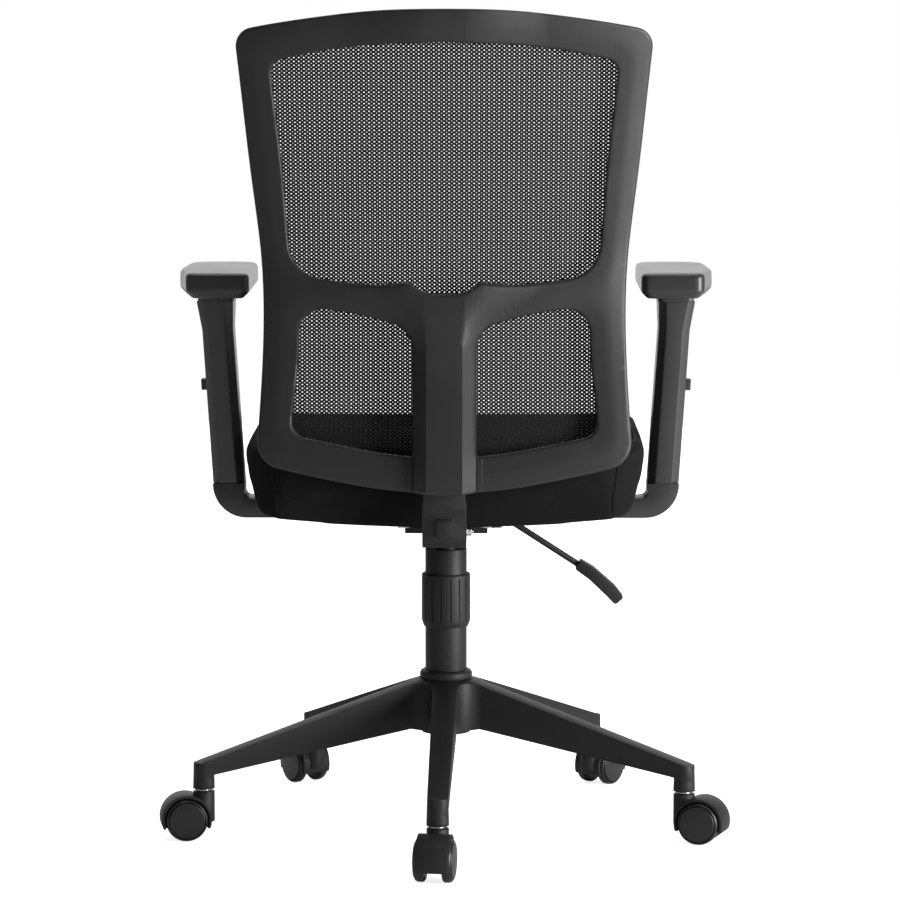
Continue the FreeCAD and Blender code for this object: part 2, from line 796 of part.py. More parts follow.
def outer_prism(inset):
    """Outer outline of the back: bowed crest, tapered sides, shallow curved lower edge."""
    top = crest_z - inset
    crest = spline([vec(0, 0, top), vec(78, 0, top - 2), vec(145, 0, top - 9.2),
                    vec(210 - inset, 0, top - 19.2), vec(236.5 - inset, 0, top - 24.5)])
    side = spline([vec(236.5 - inset, 0, top - 24.5), vec(229 - inset, 0, 879),
                   vec(219.5 - inset, 0, 786), vec(209.5 - inset, 0, 694),
                   vec(207.5 - inset, 0, 625),
                   vec(210 - inset, 0, 556), vec(216.5 - inset, 0, 463 + inset)])
    bottom = spline([vec(216.5 - inset, 0, 463 + inset), vec(160, 0, 450 + inset),
                     vec(117, 0, 441.7 + inset), vec(80, 0, 435.6 + inset),
                     vec(0, 0, spine_bottom + inset)])
    prism = outline_prism([crest, side, bottom])
    for x, z, radius in ((236.5 - inset, top - 24.5, 19), (216.5 - inset, 463 + inset, 30)):
        corners = upright_edges(prism, x, z) + upright_edges(prism, -x, z)
        prism = prism.makeFillet(radius, corners)
    return prism


def upper_window():
    top = spline([vec(0, 0, 943), vec(86, 0, 939.5), vec(150, 0, 931), vec(196.5, 0, 921)])
    side = spline([vec(196.5, 0, 921), vec(192.5, 0, 876), vec(187, 0, 826),
                   vec(181.5, 0, 757.6), vec(176, 0, 678)])
    rail = spline([vec(176, 0, 678), vec(125, 0, 671.6), vec(74, 0, 667.8), vec(41, 0, 670.8)])
    scoop = spline([vec(41, 0, 670.8), vec(23, 0, 659.8), vec(0, 0, 657.3)])
    prism = outline_prism([top, side, rail, scoop])
    for x, z, radius in ((196.5, 921, 12), (176, 678, 36), (41, 670.8, 4)):
        corners = upright_edges(prism, x, z) + upright_edges(prism, -x, z)
        prism = prism.makeFillet(radius, corners)
    return prism


def lower_window():
    """Window beside the spine on the +X side."""
    inner = Part.makeLine(vec(spine_half_width, 0, 471), vec(spine_half_width, 0, 617))
    top = spline([vec(spine_half_width, 0, 617), vec(97, 0, 633.5), vec(125, 0, 638.3),
                  vec(166.5, 0, 640)])
    outer = spline([vec(166.5, 0, 640), vec(170, 0, 556), vec(173.5, 0, 529),
                    vec(175.5, 0, 494.5)])
    bottom = spline([vec(175.5, 0, 494.5), vec(107.5, 0, 481), vec(71, 0, 474.6),
                     vec(spine_half_width, 0, 471)])
    prism = outline_prism([inner, top, outer, bottom], False)
    for x, z, radius in ((spine_half_width, 617, 23), (166.5, 640, 28), (175.5, 494.5, 13)):
        prism = prism.makeFillet(radius, upright_edges(prism, x, z))
    return prism


def spine():
    """Raised box down the rear of the frame, with sloping sides, flaring into the mid rail."""
    sections = []
    for z in (spine_bottom, 470, 520, 570, 610, 640, 672):
        flare = max(0.0, (z - 600) / 72.0)
        half = spine_half_width + 34 * flare ** 2
        face = spine_face_half_width + 10 * flare
        rear = front_y(z) + frame_thickness
        depth = spine_depth * (1 - 0.75 * flare)
        points = [vec(-half, rear - 8, z), vec(-half, rear, z), vec(-face, rear + depth, z),
                  vec(face, rear + depth, z), vec(half, rear, z), vec(half, rear - 8, z)]
        sections.append(Part.makePolygon(points + points[:1]))
    return Part.makeLoft(sections, True, True)


def bracket_tongue(gap):
    """Upper end of the back bracket, which the spine fits over."""
    half = tongue_half_width + gap
    lower = front_y(spine_bottom) + 7
    upper = front_y(tongue_top) + 7
    rear = 15.0 + gap
    outline = [(lower - gap, spine_bottom - 50, 0), (upper - gap, tongue_top + gap, 0),
               (upper + rear, tongue_top + gap, 0), (lower + rear, spine_bottom - 50, 0)]
    return rounded_prism(outline, flat_yz(-half), vec(2 * half, 0, 0))


def back_screw_heights():
    return [452.0, 484.0]


def back_frame():
    frame = outer_prism(0).cut(upper_window())
    window = lower_window()
    frame = frame.cut([window, mirrored(window)])
    frame = frame.common(back_slab(0, frame_thickness))
    frame = frame.fuse(spine()).cut(upper_window())
    frame = frame.cut(bracket_tongue(0).cut(block(-60, 60, 100, 300, 300, spine_bottom - 1)))
    for z in back_screw_heights():
        y = front_y(z)
        frame = frame.cut(rod(7.5, vec(0, y - 20, z), vec(0, y + 4, z)))
        frame = frame.cut(rod(3, vec(0, y - 20, z), vec(0, y + 22, z)))
    return frame.removeSplitter()


def back_screws():
    """Two machine screws from the front of the frame into the bracket tongue."""
    screws = []
    for z in back_screw_heights():
        y = front_y(z)
        head = rod(7, vec(0, y + 1.2, z), vec(0, y + 4, z))
        screws.append(head.fuse(rod(3, vec(0, y + 3, z), vec(0, y + 18, z))))
    return Part.makeCompound(screws)


def mesh_panel():
    """Stretched net on the front of the frame."""
    sheet = back_slab(-mesh_thickness - 0.05, mesh_thickness)
    return outer_prism(mesh_inset).common(sheet)


def back_bracket():
    """Steel bracket: flat under the seat, round elbow, then up into the spine."""
    half = bracket_half_width
    rear = bracket_rear
    low = bracket_bottom
    inner = rear - bracket_thickness
    outline = [(42, low, 3), (rear, low, 18), (rear, 424, 6), (inner, 424, 2),
               (inner, plate_bottom - 1, 6), (plate_rear + 2, plate_bottom - 1, 0),
               (plate_rear + 2, plate_bottom, 0), (42, plate_bottom, 2)]
    body = rounded_prism(outline, flat_yz(-half), vec(2 * half, 0, 0))
    rib = rounded_prism([(rear - 8, low + 14, 0), (rear + 2, low + 14, 1.5), (rear + 3.5, 398, 6),
                         (rear - 8, 410, 0)], flat_yz(-9), vec(18, 0, 0))
    body = body.fuse(rib)
    body = body.fuse(bracket_tongue(0).cut(block(-60, 60, 100, 300, 300, 412)))
    for z in back_screw_heights():
        body = body.cut(rod(3, vec(0, 150, z), vec(0, front_y(z) + 18, z)))
    for x, y in bracket_bolt_places():
        body = body.cut(Part.makeCylinder(4, 40, vec(x, y, low - 10)))
    return body.removeSplitter()


# ---------------------------------------------------------------- arms
# Each piece is drawn for the +X side, the sitter's left, and mirrored for the other.

def leaned(shape):
    """Tip an upright arm piece outwards about the foot of the arm."""
    tipped = shape.copy()
    tipped.rotate(vec(arm_foot_x, 0, arm_part_z), vec(0, 1, 0), arm_lean)
    return tipped


def arm_section(half_width, half_depth, chamfer, z):
    """Rectangle with cut corners, square to the upright arm."""
    points = []
    for side_x, side_y in ((1, -1), (1, 1), (-1, 1), (-1, -1)):
        first = vec(arm_foot_x + side_x * half_width, side_y * (half_depth - chamfer), z)
        second = vec(arm_foot_x + side_x * (half_width - chamfer), side_y * half_depth, z)
        pair = [first, second]
        if side_x * side_y < 0:
            pair = [second, first]
        points = points + pair
    return Part.makePolygon(points + points[:1])


def arm_prism(inset, bottom, top):
    wire = arm_section(arm_half_width - inset, arm_half_depth - inset, arm_chamfer - inset * 0.5,
                       bottom)
    return Part.Face(wire).extrude(vec(0, 0, top - bottom))


def arm_bolt_places():
    return [(146.0, 16.0), (146.0, -16.0), (186.0, 0.0)]


def arm_bracket():
    """Foot under the seat, elbow, and the inner post that the arm slides on."""
    outer = arm_foot_x + arm_half_width
    inner = arm_foot_x - arm_half_width
    foot = [(124, arm_bracket_bottom, 3), (outer, arm_bracket_bottom, 40.5),
            (outer, arm_part_z, 0), (inner, arm_part_z, 0), (inner, 400.5, 7),
            (226, 398.2, 0), (124, 388.4, 2)]
    elbow = rounded_prism(foot, flat_xz(-arm_half_depth), vec(0, 2 * arm_half_depth, 0))
    post = leaned(arm_prism(arm_wall + clear, arm_part_z - 12, arm_post_top))
    body = elbow.fuse(post)
    side = arm_foot_x + arm_half_width
    track = leaned(block(side - 12, side + 2, -button_depth / 2 - 1, button_depth / 2 + 1,
                         arm_part_z + 34, arm_post_top + 5))
    body = body.cut(track)
    notch_pitch = 14.0
    for i in range(6):
        z = 500.0 + i * notch_pitch
        notch = leaned(block(side - 15, side - 10, -8, 8, z, z + 7))
        body = body.cut(notch)
    for x, y in arm_bolt_places():
        body = body.cut(Part.makeCylinder(4, 40, vec(x, y, arm_bracket_bottom - 5)))
    return body.removeSplitter()


def arm_bolts():
    bolts = []
    for x, y in arm_bolt_places():
        for side in (-1, 1):
            tip = seat_centre_bottom + seat_edge_rise * (x / seat_rise_at) ** 2
            bolts.append(bolt_up(side * x, y, arm_bracket_bottom, tip + pan_thickness - 1))
    return Part.makeCompound(bolts)


def arm_sleeve():
    """Outer sleeve: cut-corner tube that flares into the pad support."""
    flare_start = arm_sleeve_top - 34
    tube = arm_prism(0, arm_part_z - 3, flare_start)
    low = arm_section(arm_half_width, arm_half_depth, arm_chamfer, flare_start)
    high = arm_section(arm_half_width + 3.5, arm_half_depth + 14, arm_chamfer, arm_sleeve_top + 4)
    flare = Part.makeLoft([low, high], True, True)
    body = leaned(tube.fuse(flare)).cut(block(150, 400, -100, 100, arm_sleeve_top, 800))
    body = body.cut(block(150, 400, -100, 100, 300, arm_part_z + clear))
    hollow = leaned(arm_prism(arm_wall, arm_part_z - 20, arm_post_top + 8))
    side = arm_foot_x + arm_half_width
    gap = clear
    window = leaned(block(side - arm_wall - 2, side + 5,
                          -button_depth / 2 - gap, button_depth / 2 + gap,
                          button_z - button_height / 2 - gap, button_z + button_height / 2 + gap))
    return body.cut([hollow, window]).removeSplitter()


def arm_button():
    side = arm_foot_x + arm_half_width
    low = button_z - button_height / 2
    high = button_z + button_height / 2
    corners = [(-button_depth / 2, low, 3), (button_depth / 2, low, 3),
               (button_depth / 2, high, 3), (-button_depth / 2, high, 3)]
    length = arm_wall + button_proud
    button = rounded_prism(corners, flat_yz(side - arm_wall), vec(length, 0, 0))
    return leaned(button)


def pad_plate():
    """Moulded block between the sleeve and the pad."""
    corners = [(251, -46, 8), (294, -46, 8), (294, 46, 8), (251, 46, 8)]
    return rounded_prism(corners, flat_xy(arm_sleeve_top), vec(0, 0, pad_plate_top - arm_sleeve_top))


def arm_pad():
    """Soft pad: straight inner edge, bulging outer edge, round front, bevelled underside."""
    plan = [(pad_inner_x, pad_rear, 10), (pad_rear_outer_x, pad_rear, 12),
            (pad_outer_x, 20, 200), (pad_outer_x - 4, pad_front, 36),
            (pad_inner_x + 2, pad_front, 30)]
    pad = rounded_prism(plan, flat_xy(pad_plate_top), vec(0, 0, pad_top - pad_plate_top))
    under = [edge for edge in pad.Edges if edge.BoundBox.ZMax < pad_plate_top + 0.01]
    pad = pad.makeChamfer(8, under)
    over = [edge for edge in pad.Edges if edge.BoundBox.ZMin > pad_top - 0.01]
    return pad.makeFillet(5, over)


# ---------------------------------------------------------------- write the parts

def save_all():
    save("base_star", base_star())
    save("caster_sockets", caster_sockets())
    save("caster_stems", caster_stems())
    one_hood = hood()
    for i in range(leg_count):
        number = str(i + 1)
        save("caster_hood_" + number, at_caster(one_hood, i))
        save("caster_axle_" + number, at_caster(caster_axle(), i))
        save("caster_wheel_" + number + "a", at_caster(wheel(1), i))
        save("caster_wheel_" + number + "b", at_caster(wheel(-1), i))
    save("column_tube", column_tube())
    save("column_bush", column_bush())
    save("base_collar", base_collar())
    save("dust_sleeve", dust_sleeve())
    save("piston_rod", piston_rod())
    save("thrust_bearing", thrust_bearing())
    save("rod_clip", rod_clip())
    save("gas_cylinder", gas_cylinder())
    save("release_pin", release_pin())
    save("mech_housing", mech_housing())
    save("tilt_axle", tilt_axle())
    save("tilt_spring", tilt_spring())
    save("tension_bolt", tension_bolt())
    save("tension_knob", tension_knob())
    save("stop_bolt", stop_bolt())
    save("tilt_plate", tilt_plate())
    save("underseat_bolts", underseat_bolts())
    save("lever_pivot", lever_pivot())
    save("lever_rod", lever_rod())
    save("lever_handle", lever_handle())
    save("seat_pan", seat_pan())
    save("seat_cushion", seat_cushion())
    save("back_bracket", back_bracket())
    save("back_frame", back_frame())
    save("back_screws", back_screws())
    save("mesh_panel", mesh_panel())
    save("arm_bolts", arm_bolts())
    sides = (("left", lambda shape: shape), ("right", mirrored))
    for word, side in sides:
        save("arm_bracket_" + word, side(arm_bracket()))
        save("arm_sleeve_" + word, side(arm_sleeve()))
        save("arm_button_" + word, side(arm_button()))
        save("pad_plate_" + word, side(pad_plate()))
        save("arm_pad_" + word, side(arm_pad()))


save_all()
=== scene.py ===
import json
import math

import bpy
import numpy as np
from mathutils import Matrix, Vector
from mathutils.bvhtree import BVHTree


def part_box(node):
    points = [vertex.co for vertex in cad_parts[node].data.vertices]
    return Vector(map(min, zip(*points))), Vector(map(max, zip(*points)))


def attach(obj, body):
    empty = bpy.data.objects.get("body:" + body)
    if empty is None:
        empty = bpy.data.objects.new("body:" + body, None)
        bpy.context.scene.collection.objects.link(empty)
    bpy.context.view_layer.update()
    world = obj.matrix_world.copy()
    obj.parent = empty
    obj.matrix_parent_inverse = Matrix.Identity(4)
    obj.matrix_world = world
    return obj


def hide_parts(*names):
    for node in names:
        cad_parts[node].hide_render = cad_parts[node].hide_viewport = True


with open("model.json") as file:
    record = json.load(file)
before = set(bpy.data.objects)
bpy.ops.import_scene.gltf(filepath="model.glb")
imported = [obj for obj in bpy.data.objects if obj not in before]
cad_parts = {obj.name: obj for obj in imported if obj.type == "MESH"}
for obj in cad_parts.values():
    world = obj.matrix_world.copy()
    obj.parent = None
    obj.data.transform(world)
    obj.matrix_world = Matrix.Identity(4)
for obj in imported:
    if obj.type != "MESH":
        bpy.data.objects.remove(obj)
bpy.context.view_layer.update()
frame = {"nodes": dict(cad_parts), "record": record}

bl_info = {
    "name": "Mesh back office chair",
    "version": (1, 0, 0),
    "blender": (4, 5, 0),
    "location": "View3D > Sidebar > Chair",
    "description": "Visible shell, net, upholstery and finishes of a swivel office chair",
    "category": "Object",
}

NODES = frame["nodes"]

# Centre line of the back's front surface: (height, y), as the design has it.
BACK_PROFILE = (
    (0.400, 0.214), (0.435, 0.210), (0.500, 0.203), (0.560, 0.198), (0.620, 0.199),
    (0.700, 0.208), (0.800, 0.228), (0.900, 0.254), (1.000, 0.286))


# ------------------------------------------------------------------ small tools

def deselect_all():
    if bpy.context.mode != "OBJECT":
        bpy.ops.object.mode_set(mode="OBJECT")
    bpy.ops.object.select_all(action="DESELECT")


def make_active(piece):
    deselect_all()
    piece.select_set(True)
    bpy.context.view_layer.objects.active = piece
    return piece


def name_piece(name):
    piece = bpy.context.active_object
    piece.name = name
    piece.data.name = name
    return piece


def edit(piece, mode="FACE"):
    make_active(piece)
    bpy.ops.object.mode_set(mode="EDIT")
    bpy.ops.mesh.select_mode(type=mode)
    bpy.ops.mesh.select_all(action="SELECT")


def leave_edit():
    bpy.ops.object.mode_set(mode="OBJECT")


def pick_faces(piece, wanted):
    """Selects the faces that are wanted, one True or False for each, and enters edit mode."""
    edit(piece)
    bpy.ops.mesh.select_all(action="DESELECT")
    leave_edit()
    for face, keep in zip(piece.data.polygons, wanted):
        face.select = bool(keep)
    bpy.ops.object.mode_set(mode="EDIT")


def outward(piece):
    edit(piece)
    bpy.ops.mesh.remove_doubles(threshold=1e-6)
    bpy.ops.mesh.normals_make_consistent(inside=False)
    leave_edit()


def smooth(piece, degrees=40):
    make_active(piece)
    bpy.ops.object.shade_smooth_by_angle(angle=math.radians(degrees))


def apply_modifier(piece, kind, **values):
    make_active(piece)
    modifier = piece.modifiers.new(kind.title(), kind)
    for key, value in values.items():
        setattr(modifier, key, value)
    bpy.ops.object.modifier_apply(modifier=modifier.name)


def points_of(piece):
    flat = np.empty(len(piece.data.vertices) * 3)
    piece.data.vertices.foreach_get("co", flat)
    return flat.reshape(-1, 3)


def set_points(piece, points):
    piece.data.vertices.foreach_set("co", points.reshape(-1))
    piece.data.update()


def dress(piece, material, body, slot, *nodes):
    """Gives the piece its material and its body, and hides the design nodes it stands for; the
    slot is not used.
    """
    piece.data.materials.clear()
    piece.data.materials.append(material)
    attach(piece, body)
    if nodes:
        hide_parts(*nodes)
    return piece


def mirror_copy(piece, name):
    """A copy mirrored to the -X side, with its own mesh and its faces outward."""
    make_active(piece)
    bpy.ops.object.duplicate()
    twin = name_piece(name)
    points = points_of(twin)
    points[:, 0] *= -1
    set_points(twin, points)
    edit(twin)
    bpy.ops.mesh.flip_normals()
    leave_edit()
    return twin


# ------------------------------------------------------------------ curves

CURVE_SAMPLE = 0.0008
OUTLINE_STEP = 0.003
CORNER_POINTS = 12
CORNER_PULL = 0.56
FAR = 1.0
POINTS_AT_ONCE = 4000


class SmoothRun:
    """Natural cubic curve through a few points, read at any share of its length."""

    def __init__(self, points):
        self.points = np.array(points, float)
        steps = np.linalg.norm(np.diff(self.points, axis=0), axis=1)
        self.knots = np.concatenate([[0], np.cumsum(steps)])
        count = len(self.points)
        matrix = np.eye(count)
        right = np.zeros_like(self.points)
        for i in range(1, count - 1):
            before, after = steps[i - 1], steps[i]
            matrix[i, i - 1:i + 2] = before, 2 * (before + after), after
            slope_after = (self.points[i + 1] - self.points[i]) / after
            slope_before = (self.points[i] - self.points[i - 1]) / before
            right[i] = 6 * (slope_after - slope_before)
        self.bend = np.linalg.solve(matrix, right)

    def at(self, knot):
        knot = np.atleast_1d(knot)
        i = np.clip(np.searchsorted(self.knots, knot) - 1, 0, len(self.knots) - 2)
        span = (self.knots[i + 1] - self.knots[i])[:, None]
        a = (self.knots[i + 1] - knot)[:, None] / span
        b = 1 - a
        curve = a * self.points[i] + b * self.points[i + 1]
        sag = (a ** 3 - a) * self.bend[i] + (b ** 3 - b) * self.bend[i + 1]
        return curve + sag * span ** 2 / 6

    def spread(self, step):
        count = max(2, int(round(self.knots[-1] / step)) + 1)
        return self.at(np.linspace(0, self.knots[-1], count))


def rounded_loop(runs, radii):
    """Closed outline of smooth runs; corner i, at the end of run i, is rounded by radii[i]."""
    sampled = [SmoothRun(run).spread(CURVE_SAMPLE) for run in runs]
    pieces = []
    count = len(sampled)
    for i, line in enumerate(sampled):
        from_start = np.linalg.norm(line - line[0], axis=1)
        from_end = np.linalg.norm(line - line[-1], axis=1)
        pieces.append(line[(from_start >= radii[i - 1]) & (from_end >= radii[i])])
    outline = []
    for i in range(count):
        outline.extend(pieces[i])
        corner = sampled[i][-1]
        start = pieces[i][-1]
        end = pieces[(i + 1) % count][0]
        first = start + (corner - start) * CORNER_PULL
        second = end + (corner - end) * CORNER_PULL
        for t in np.linspace(0, 1, CORNER_POINTS)[1:-1]:
            point = ((1 - t) ** 3 * start + 3 * (1 - t) ** 2 * t * first
                     + 3 * (1 - t) * t ** 2 * second + t ** 3 * end)
            outline.append(point)
    outline = np.array(outline + outline[:1])
    steps = np.linalg.norm(np.diff(outline, axis=0), axis=1)
    keep = np.concatenate([[True], steps > 1e-7])
    outline = outline[keep]
    length = np.concatenate([[0], np.cumsum(np.linalg.norm(np.diff(outline, axis=0), axis=1))])
    places = np.linspace(0, length[-1], int(length[-1] / OUTLINE_STEP) + 1)[:-1]
    return np.stack([np.interp(places, length, outline[:, k]) for k in (0, 1)], axis=1)


def mirrored_runs(runs):
    """The runs of a half outline from the centre, followed by their mirror image back to it."""
    back = [[(-x, z) for x, z in reversed(run)] for run in reversed(runs)]
    return runs + back


def distance_to(loops, points):
    """Distance from (x, z) points to the nearest of the closed outlines."""
    best = np.full(len(points), FAR)
    for loop in loops:
        start = loop
        along = np.roll(loop, -1, axis=0) - loop
        size = (along ** 2).sum(1)
        for block in range(0, len(points), POINTS_AT_ONCE):
            part = points[block:block + POINTS_AT_ONCE, None]
            share = ((part - start) * along).sum(2) / size
            share = np.clip(share, 0, 1)[..., None]
            gap = np.linalg.norm(part - (start + share * along), axis=2).min(1)
            nearest = best[block:block + POINTS_AT_ONCE]
            best[block:block + POINTS_AT_ONCE] = np.minimum(nearest, gap)
    return best


def inside_loop(loop, points):
    """True for the (x, z) points within a closed outline."""
    x, z = points[:, 0], points[:, 1]
    result = np.zeros(len(points), bool)
    for (x0, z0), (x1, z1) in zip(loop, np.roll(loop, -1, axis=0)):
        crosses = (z0 > z) != (z1 > z)
        rise = z1 - z0 if z1 != z0 else 1e-12
        result ^= crosses & (x < (x1 - x0) * (z - z0) / rise + x0)
    return result


# ------------------------------------------------------------------ materials

# Painted edge highlight: sharp outside edges are given a lighter colour, standing in for the
# light they catch.
EDGE_START, EDGE_GAIN = 0.53, 12.0
PAINTED_HIGHLIGHT_GAIN, PAINTED_HIGHLIGHT_LIFT = 3, 0.01


def colour_property(label, value):
    return bpy.props.FloatVectorProperty(
        name=label, description="Colour of the " + label.lower(), subtype="COLOR",
        default=value, min=0.0, max=1.0)


class FinishSettings(bpy.types.PropertyGroup):
    back: colour_property("Back frame", (0.016, 0.016, 0.0165))
    arms: colour_property("Arms", (0.026, 0.026, 0.027))
    base: colour_property("Base", (0.0105, 0.0105, 0.0108))
    wheels: colour_property("Wheels", (0.008, 0.008, 0.0083))
    pads: colour_property("Arm pads", (0.024, 0.024, 0.025))
    steel: colour_property("Painted steel", (0.012, 0.012, 0.0125))
    seat_dark: colour_property("Seat cloth's valleys", (0.0055, 0.0055, 0.0058))
    seat_light: colour_property("Seat cloth's threads", (0.0160, 0.0160, 0.0165))
    seam_dark: colour_property("Seam's valleys", (0.0035, 0.0035, 0.004))
    seam_light: colour_property("Seam's threads", (0.008, 0.008, 0.0085))
    net_dark: colour_property("Net's valleys", (0.007, 0.007, 0.0075))
    net_light: colour_property("Net's threads", (0.018, 0.018, 0.019))


def new_group(name, inputs, outputs):
    group = bpy.data.node_groups.new(name, "ShaderNodeTree")
    for label, kind, value in inputs:
        socket = group.interface.new_socket(label, in_out="INPUT", socket_type=kind)
        socket.default_value = value
    for label, kind in outputs:
        group.interface.new_socket(label, in_out="OUTPUT", socket_type=kind)
    start = group.nodes.new("NodeGroupInput")
    end = group.nodes.new("NodeGroupOutput")
    return group, start, end


def add_node(tree, kind, **values):
    node = tree.nodes.new(kind)
    for key, value in values.items():
        setattr(node, key, value)
    return node


def math_node(tree, operation, first, second=None, third=None):
    node = add_node(tree, "ShaderNodeMath", operation=operation)
    for socket, value in zip(node.inputs, (first, second, third)):
        if isinstance(value, bpy.types.NodeSocket):
            tree.links.new(value, socket)
        elif value is not None:
            socket.default_value = value
    return node.outputs[0]


def moulded_grain_group():
    """Fine moulded texture: slight colour and gloss variation, and a shallow pitted height."""
    group, start, end = new_group(
        "moulded_grain",
        [("Scale", "NodeSocketFloat", 900.0), ("Colour", "NodeSocketColor", (0, 0, 0, 1)),
         ("Roughness", "NodeSocketFloat", 0.4), ("Variation", "NodeSocketFloat", 0.1)],
        [("Colour", "NodeSocketColor"), ("Roughness", "NodeSocketFloat"),
         ("Height", "NodeSocketFloat")])
    links = group.links
    place = add_node(group, "ShaderNodeTexCoord")
    pits = add_node(group, "ShaderNodeTexNoise")
    pits.inputs["Detail"].default_value = 2.0
    links.new(place.outputs["Object"], pits.inputs["Vector"])
    links.new(start.outputs["Scale"], pits.inputs["Scale"])
    cloud = add_node(group, "ShaderNodeTexNoise")
    cloud.inputs["Scale"].default_value = 14.0
    cloud.inputs["Detail"].default_value = 3.0
    links.new(place.outputs["Object"], cloud.inputs["Vector"])
    swing = math_node(group, "SUBTRACT", cloud.outputs["Fac"], 0.5)
    swing = math_node(group, "MULTIPLY", swing, start.outputs["Variation"])
    rough = math_node(group, "ADD", start.outputs["Roughness"], swing)
    tint = add_node(group, "ShaderNodeHueSaturation")
    links.new(start.outputs["Colour"], tint.inputs["Color"])
    links.new(math_node(group, "ADD", math_node(group, "MULTIPLY", swing, 2.0), 1.0),
              tint.inputs["Value"])
    links.new(tint.outputs["Color"], end.inputs["Colour"])
    links.new(rough, end.inputs["Roughness"])
    links.new(pits.outputs["Fac"], end.inputs["Height"])
    return group


def painted_highlight_group():
    """Mask of 0 to 1 along sharp outside edges, broken up by noise, where a highlight is
    painted.
    """
    group, start, end = new_group(
        "painted_edge_highlight", [("Width", "NodeSocketFloat", 0.5)], [("Mask", "NodeSocketFloat")])
    links = group.links
    place = add_node(group, "ShaderNodeTexCoord")
    noise = add_node(group, "ShaderNodeTexNoise")
    noise.inputs["Scale"].default_value = 120.0
    links.new(place.outputs["Object"], noise.inputs["Vector"])
    shape = add_node(group, "ShaderNodeNewGeometry")
    raised = math_node(group, "SUBTRACT", shape.outputs["Pointiness"], EDGE_START)
    raised = math_node(group, "MULTIPLY", raised, EDGE_GAIN)
    raised = math_node(group, "MULTIPLY", raised, start.outputs["Width"])
    mask = math_node(group, "MULTIPLY", raised, noise.outputs["Fac"])
    node = add_node(group, "ShaderNodeClamp")
    links.new(mask, node.inputs["Value"])
    links.new(node.outputs[0], end.inputs["Mask"])
    return group


def weave_group():
    """Plain weave of warp and weft threads on object coordinates, as height and mask."""
    group, start, end = new_group(
        "weave", [("Threads", "NodeSocketFloat", 700.0), ("Fuzz", "NodeSocketFloat", 0.3)],
        [("Height", "NodeSocketFloat"), ("Mask", "NodeSocketFloat")])
    links = group.links
    place = add_node(group, "ShaderNodeTexCoord")
    split = add_node(group, "ShaderNodeSeparateXYZ")
    links.new(place.outputs["Object"], split.inputs[0])
    across = math_node(group, "MULTIPLY", split.outputs["X"], start.outputs["Threads"])
    depth = math_node(group, "ADD", split.outputs["Y"], split.outputs["Z"])
    along = math_node(group, "MULTIPLY", depth, start.outputs["Threads"])
    warp = math_node(group, "SINE", math_node(group, "MULTIPLY", across, math.pi))
    weft = math_node(group, "SINE", math_node(group, "MULTIPLY", along, math.pi))
    weave = math_node(group, "MULTIPLY", warp, weft)
    fuzz = add_node(group, "ShaderNodeTexNoise")
    fuzz.inputs["Scale"].default_value = 900.0
    fuzz.inputs["Detail"].default_value = 4.0
    links.new(place.outputs["Object"], fuzz.inputs["Vector"])
    hair = math_node(group, "MULTIPLY", fuzz.outputs["Fac"], start.outputs["Fuzz"])
    height = math_node(group, "ADD", math_node(group, "MULTIPLY_ADD", weave, 0.5, 0.5), hair)
    links.new(height, end.inputs["Height"])
    links.new(math_node(group, "MULTIPLY_ADD", weave, 0.5, 0.5), end.inputs["Mask"])
    return group


